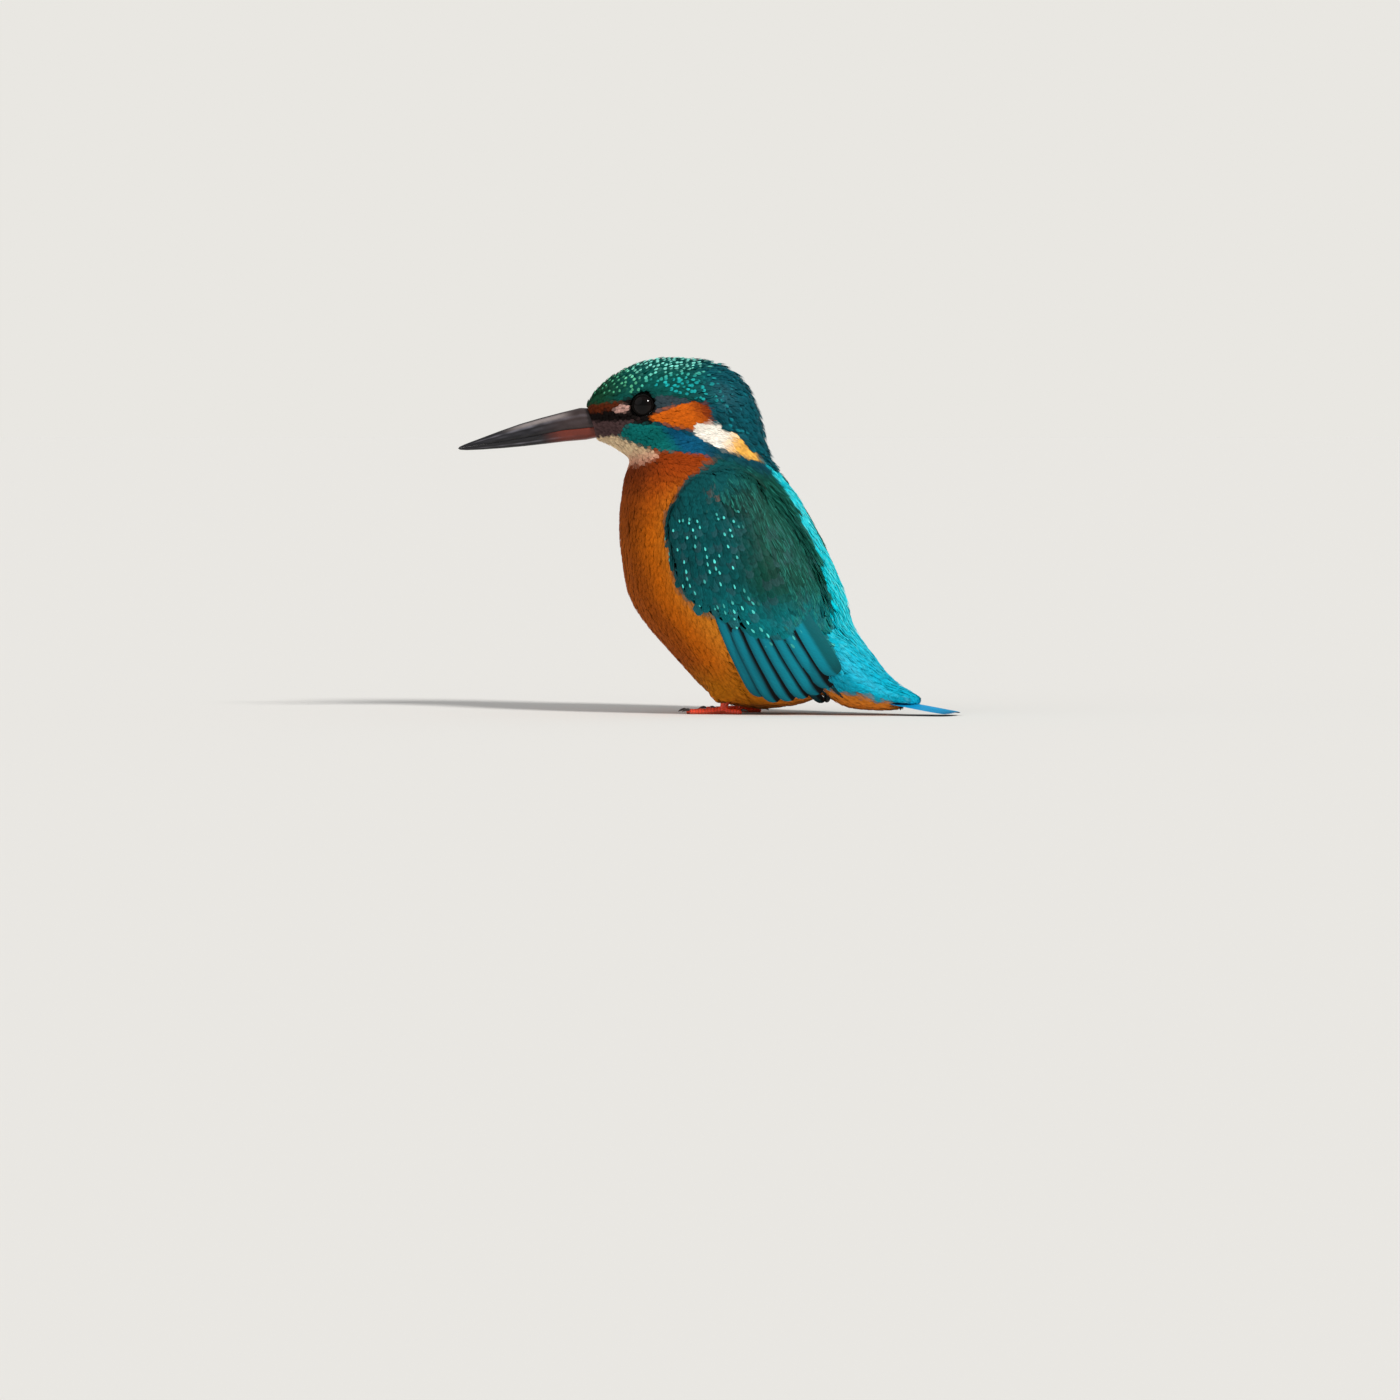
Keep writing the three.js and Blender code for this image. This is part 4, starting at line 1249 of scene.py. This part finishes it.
layWingQuills()

tailPlan = {"tip": (0, 68.6, 0.35), "slope": 9.5, "length": 36, "halfBase": 3.2, "halfTip": 5.6,
            "feathers": 12, "width": 1.95, "rounding": 1.5, "layer": 0.13}


def layTail():
    # the left half, from the middle feather out; each lies under the one before
    plan, feathers = tailPlan, []
    slope = math.radians(plan["slope"])
    run = np.array([0, math.cos(slope), -math.sin(slope)])
    facing = np.array([0, math.sin(slope), math.cos(slope)])
    tip = np.array(plan["tip"])
    for number in range(plan["feathers"] // 2, plan["feathers"]):
        share = number / (plan["feathers"] - 1) * 2 - 1
        end = tip + np.array([share * plan["halfTip"], 0, 0]) - run * plan["rounding"] * share ** 2
        start = tip - run * plan["length"] + np.array([share * plan["halfBase"], 0, 0])
        spots = np.array([start + (end - start) * t for t in np.linspace(0, 1, flightPlan["steps"])])
        spots = spots + facing * (plan["layer"] * (plan["feathers"] / 2 - share * plan["feathers"] / 2))
        middle = number == plan["feathers"] // 2
        feathers.append({"spots": spots, "normals": repeated(facing, len(spots)), "half": plan["width"],
                         "skew": 0 if middle else 0.15, "rise": 0, "camber": 0.12, "tipShade": 0.25,
                         "outer": plumage["tail"], "inner": plumage["tail" if middle else "tailDark"]})
    layFlight("tail_quills", feathers, ["tail"])


layTail()


billPlan = {
    # along from the tip, middle height, half height and half width
    "stations": [(-36.5, .75, 0, 0), (-36.1, .75, .4, .35), (-34.3, .75, .85, .7), (-30, .8, 1.55, 1.2),
                 (-24.2, .95, 2.4, 1.8), (-18.5, 1.1, 3.1, 2.35), (-12.7, 1.15, 3.6, 2.8),
                 (-7, 1.15, 4, 3.35), (-1.4, 1, 4.45, 4), (5.5, .2, 3.6, 3.9), (6.5, 0, 0, 0)],
    "mouth": [(-37.5, .85), (-19, .3), (-7, .35), (3, -.55), (7.5, -1)],
    # the light grey paints highlight lines along the bill
    "sides": 40, "rings": 90, "gape": 0.012, "black": "#08080a", "grey": "#7d7a84", "red": "#743022",
    # the pale pinkish grey is a painted highlight along the top of the bill
    "base": "#463634", "culmenHighlight": "#b8acaa", "edge": "#030303",
# the near-black paints the shade where the two halves meet
}
billHalves = {
    "upper": {"way": 1, "curve": 0.86, "wide": 1, "groove": (0.42, -18, 0.07), "slit": 0.13,
              "highlightLines": (0.3, 0.62)},
    "lower": {"way": -1, "curve": 0.95, "wide": 0.97, "groove": (0.35, -16, 0.06), "slit": 0,
              "highlightLines": (0.25, 0.6)},
}


def billSection(along, angle, half):
    # a place on one half of the bill, and how far up its side that is
    reached = [table(along, [(row[0], row[i]) for row in billPlan["stations"]]) for i in (1, 2, 3)]
    middle, tall, wide = (float(value) for value in reached)
    line = float(table(along, billPlan["mouth"]))
    ridge = abs(math.sin(angle)) ** half["curve"]
    way, over = half["way"], math.sin(angle) > 1e-6
    x, z = wide * half["wide"] * math.cos(angle), line + way * billPlan["gape"]
    if over:
        z += way * (way * (middle + way * tall - line) * ridge)
        low, start, deep = half["groove"]
        groove = math.exp(-((ridge - low) / 0.1) ** 2) * smooth(-30, start, along) * smooth(3, -3, along)
        x *= 1 - deep * float(groove)
        slit = math.exp(-((along + 1.6) / 1.5) ** 2 - ((ridge - 0.45 - 0.03 * (along + 1.6)) / 0.075) ** 2)
        x *= 1 - half["slit"] * slit
    return (x, along, z), ridge, over


def billPaint(along, ridge, over, half):
    tone = {key: linear(billPlan[key]) for key in ("black", "grey", "red", "base", "culmenHighlight", "edge")}
    # painted highlight: two pale grey lines run along each half, fading out toward the tip; elsewhere the
    # black has only a faint grey tint
    low, high = half["highlightLines"]
    highlightLines = float(smooth(0.08, 0.02, abs(ridge - low)) + smooth(0.1, 0.02, abs(ridge - high)))
    grain = 0.6 + 0.4 * math.sin(along * 0.9 + ridge * 21) * math.sin(along * 0.37 + ridge * 34 + 1)
    paint = mix(tone["black"], tone["grey"], (0.08 + 0.68 * highlightLines * float(smooth(-36, -24, along))) * grain)
    if half["way"] > 0:
        paint = mix(paint, tone["base"], 0.55 * float(smooth(-16, -4, along)))
        # painted highlight: a pale streak along the upper side of the bill's top half, near its ridge
        culmenHighlight = smooth(0.66, 0.78, ridge) * smooth(0.97, 0.88, ridge)
        culmenHighlight = culmenHighlight * smooth(-25, -17, along) * smooth(-3, -8, along)
        paint = mix(paint, tone["culmenHighlight"], 0.5 * float(culmenHighlight))
    else:
        paint = mix(paint, tone["red"], 0.9 * float(smooth(-14, -6, along)))
    # painted shade: a near-black line along each half where the two halves meet
    return mix(paint, tone["edge"], float(smooth(0.12, 0.03, ridge)) * float(over))


def billHalf(half):
    ball = ballOf(billPlan["sides"], billPlan["rings"])
    start, end = billPlan["stations"][0][0], billPlan["stations"][-1][0]
    colours = []
    for vert in ball.verts:
        share = fromPole(vert.co.z) / math.pi
        along = start + (end - start) * (share ** 1.15)
        vert.co, ridge, over = billSection(along, math.atan2(vert.co.y, vert.co.x), half)
        colours.append(billPaint(along, ridge, over, half))
    bmesh.ops.recalc_face_normals(ball, faces=ball.faces)
    bmesh.ops.transform(ball, matrix=headMatrix(), verts=ball.verts)
    return ball, np.array(colours)


def billMaterial():
    material = surfaceMaterial("horny sheath of the bill", roughness=0.3, size=700, depth=0.1,
                               bumpSize=0.00003, specular=0.3, coat=0)
    nodes, links = material.node_tree.nodes, material.node_tree.links
    place = addNode(nodes, "TexCoord")
    lieAlong = (math.radians(-headPose["droop"]), 0, math.radians(-headPose["turn"]))
    turn = addNode(nodes, "Mapping", {"Rotation": lieAlong, "Scale": (4.0, 0.35, 4.0)})
    streaks = addNode(nodes, "TexNoise", {"Scale": 260, "Detail": 4})
    rough = addNode(nodes, "MapRange", {"To Min": 0.22, "To Max": 0.5})
    wire(links, (place, "Object", turn, "Vector"), (turn, "Vector", streaks, "Vector"),
         (streaks, "Fac", rough, "Value"), (rough, "Result", nodes["Principled BSDF"], "Roughness"))
    return material


def makeBill():
    material = billMaterial()
    for name, half in (("bill_top", "upper"), ("bill_bottom", "lower")):
        mesh = meshFromShape(name, *billHalf(billHalves[half]))
        finishPiece(name, mesh, material, ["bill_" + half])


makeBill()


eyePlan = {"sides": 48, "rings": 36, "inset": 0.05, "pupil": "#030202", "iris": "#0c0605", "rim": "#050303",
           "irisFrom": (19, 23), "irisTo": (40, 46), "roughness": 0.05, "gloss": 0.16}


def eyeMaterial():
    material, nodes, links, shader = startMaterial("wet dark eye")
    paint = addNode(nodes, "VertexColor", layer_name="plumage")
    wire(links, (paint, "Color", shader, "Base Color"))
    setInputs(shader, {"Roughness": eyePlan["roughness"], "Specular IOR Level": eyePlan["gloss"]})
    return material


def makeEyes():
    plan, material = eyePlan, eyeMaterial()
    aim = Vector(skinPlan["eyeAim"]).normalized()
    for side, node in ((1, "eye_left"), (-1, "eye_right")):
        low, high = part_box(node)
        centre, radius = (low + high) / 2 * perMetre, (high - low).x * perMetre / 2 - plan["inset"]
        look = headPlace[:3, :3] @ np.array([aim.x * side, aim.y, aim.z])
        ball = ballOf(plan["sides"], plan["rings"], radius)
        colours = []
        for vert in ball.verts:
            ring = math.degrees(fromPole(vert.co.z / radius))
            paint = mix(linear(plan["pupil"]), linear(plan["iris"]), float(smooth(*plan["irisFrom"], ring)))
            colours.append(mix(paint, linear(plan["rim"]), float(smooth(*plan["irisTo"], ring))))
        bmesh.ops.transform(ball, matrix=Matrix.Translation(centre) @ aimed(look), verts=ball.verts)
        mesh = meshFromShape(node + "_wet", ball, np.array(colours))
        finishPiece(node + "_wet", mesh, material, [node])


makeEyes()


footPlan = {"solids": ("tarsus_left", "tarsus_right", "foot_left", "foot_right"), "grow": 0.16,
            "voxel": 0.17, "rounds": 5, "spread": 8.0, "ankle": 3.82, "toes": (3, 17, -15, 172),
            "toeHeight": 3.2, "scute": 0.85, "raise": 0.07, "top": "#f2441c", "sole": "#b8401f",
            "groove": "#8e2410"}


def makeFeet():
    plan, mesh = footPlan, wrapped(footPlan)
    points, normals = pointsOf(mesh), normalsOf(mesh)
    across, back = np.abs(points[:, 0]) - plan["spread"], points[:, 1] - plan["ankle"]
    best, along = np.full(len(points), 1e9), np.zeros(len(points))
    for angle in plan["toes"]:
        turn = math.radians(angle)
        way = np.array([math.sin(turn), -math.cos(turn)])
        reach = across * way[0] + back * way[1]
        away = np.abs(across * way[1] - back * way[0]) + np.where(reach < 0, 50, 0)
        along = np.where(away < best, reach, along)
        best = np.minimum(best, away)
    along = np.where(points[:, 2] > plan["toeHeight"], points[:, 2], along)
    plate = np.abs(np.sin(along / plan["scute"] * math.pi))
    topside = smooth(-0.2, 0.4, normals[:, 2]) + smooth(3, 4, points[:, 2])
    lift = plan["raise"] * (plate ** 0.5 - 0.75) * np.clip(topside, 0.35, 1)
    points = points + normals * (lift - 0.04)[:, None]
    points[:, 2] = np.maximum(points[:, 2], 0)
    colours = repeated(linear(plan["top"]), len(points))
    colours = mix(colours, linear(plan["sole"]), smooth(0.1, -0.5, normals[:, 2]))
    colours = mix(colours, linear(plan["groove"]), smooth(0.45, 0.1, plate) * 0.75)
    mesh.vertices.foreach_set("co", (points * metre).astype(np.float32).ravel())
    mesh.name = "feet"
    mesh.materials.clear()
    paintMesh(mesh, colours)
    material = surfaceMaterial("scaled coral skin", roughness=0.42, size=1500, depth=0.12,
                               bumpSize=0.00004, specular=0.45, coat=0.1)
    finishPiece("feet", mesh, material, plan["solids"])


makeFeet()


clawPlan = {"tones": ("#120c0a", "#3a2a22"), "grain": 900.0, "roughness": 0.3, "weld": 0.000004,
            "rounding": 2}


def clawMaterial():
    material, nodes, links, shader = startMaterial("dark claw horn")
    place = addNode(nodes, "TexCoord")
    grain = addNode(nodes, "TexNoise", {"Scale": clawPlan["grain"], "Detail": 3.0})
    tones = addNode(nodes, "ValToRGB")
    for stop, tone in zip(tones.color_ramp.elements, clawPlan["tones"]):
        stop.color = (*linear(tone), 1)
    wire(links, (place, "Object", grain, "Vector"), (grain, "Fac", tones, "Fac"),
         (tones, "Color", shader, "Base Color"))
    setInputs(shader, {"Roughness": clawPlan["roughness"]})
    return material


def dressClaws():
    material = clawMaterial()
    for name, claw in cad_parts.items():
        if not name.startswith("claw"):
            continue
        for place in claw.material_slots:
            place.link = "OBJECT"
            place.material = material
        weld = claw.modifiers.new("weld", "WELD")
        weld.merge_threshold = clawPlan["weld"]
        rounder = claw.modifiers.new("rounder", "SUBSURF")
        rounder.levels = rounder.render_levels = clawPlan["rounding"]
        print(name + ": rounded")


dressClaws()
bpy.data.meshes.remove(wingShell)


stagePlan = {"floor": "#e9e8e5", "room": "#e9e7e2", "radius": 7.0, "aim": (1.64, -5.04, 3.6),
             "azimuth": 108.0, "elevation": 2.0, "away": 3.0, "frameWidth": 0.385, "glow": 0.4}
# Each sun stands this far toward the camera, to its right and up.
sunPlan = {
    "key": {"from": (1.0, 0.85, 1.0), "strength": 2.8, "angle": 11, "colour": (1, 0.98, 0.95)},
    "fill": {"from": (0.7, -1.0, 0.8), "strength": 0.35, "angle": 60, "colour": (1, 1, 1)},
}


def makeStage():
    floorShape = bmesh.new()
    bmesh.ops.create_circle(floorShape, cap_ends=True, segments=96, radius=stagePlan["radius"])
    floorMesh = bpy.data.meshes.new("floor")
    floorShape.to_mesh(floorMesh)
    floorShape.free()
    floor = placed("floor", floorMesh)
    material, _, _, shader = startMaterial("pale floor")
    setInputs(shader, {"Base Color": (*linear(stagePlan["floor"]), 1), "Roughness": 0.9,
                       "Specular IOR Level": 0})
    floor.data.materials.append(material)


def makeSun(name, plan):
    turn = math.radians(stagePlan["azimuth"])
    toCamera = Vector((math.sin(turn), -math.cos(turn), 0))
    toRight = Vector((math.cos(turn), math.sin(turn), 0))
    ahead, right, up = plan["from"]
    sun = bpy.data.lights.new(name, "SUN")
    sun.energy = plan["strength"]
    sun.angle = math.radians(plan["angle"])
    sun.color = plan["colour"]
    away = toCamera * ahead + toRight * right + Vector((0, 0, 1)) * up
    placed(name, sun).rotation_euler = away.to_track_quat("Z", "Y").to_euler()


def makeLight():
    for name, plan in sunPlan.items():
        makeSun(name, plan)
    world = bpy.data.worlds.new("room")
    bpy.context.scene.world = world
    world.use_nodes = True
    nodes, links = world.node_tree.nodes, world.node_tree.links
    glow = nodes["Background"]
    setInputs(glow, {"Color": (1, 1, 1, 1), "Strength": stagePlan["glow"]})
    seen = addNode(nodes, "Background", {"Color": (*linear(stagePlan["room"]), 1), "Strength": 1})
    path = addNode(nodes, "LightPath")
    either = addNode(nodes, "Math", operation="MAXIMUM")
    blend = addNode(nodes, "MixShader")
    wire(links, (path, "Is Camera Ray", either, 0), (path, "Is Transmission Ray", either, 1),
         (either, "Value", blend, "Fac"), (glow, "Background", blend, 1), (seen, "Background", blend, 2),
         (blend, "Shader", nodes["World Output"], "Surface"))


def makeCamera():
    turn, tilt = math.radians(stagePlan["azimuth"]), math.radians(stagePlan["elevation"])
    back = Vector((math.sin(turn) * math.cos(tilt), -math.cos(turn) * math.cos(tilt), math.sin(tilt)))
    lens = bpy.data.cameras.new("camera")
    lens.sensor_width = 36
    lens.lens = lens.sensor_width * stagePlan["away"] / stagePlan["frameWidth"]
    lens.clip_start, lens.clip_end = 0.05, 60
    camera = placed("camera", lens)
    camera.location = Vector(stagePlan["aim"]) * metre + back * stagePlan["away"]
    camera.rotation_euler = (-back).to_track_quat("-Z", "Y").to_euler()
    bpy.context.scene.camera = camera


makeStage()
makeLight()
makeCamera()
bpy.context.scene.view_settings.view_transform = "Standard"
print("floor, light and camera are set")
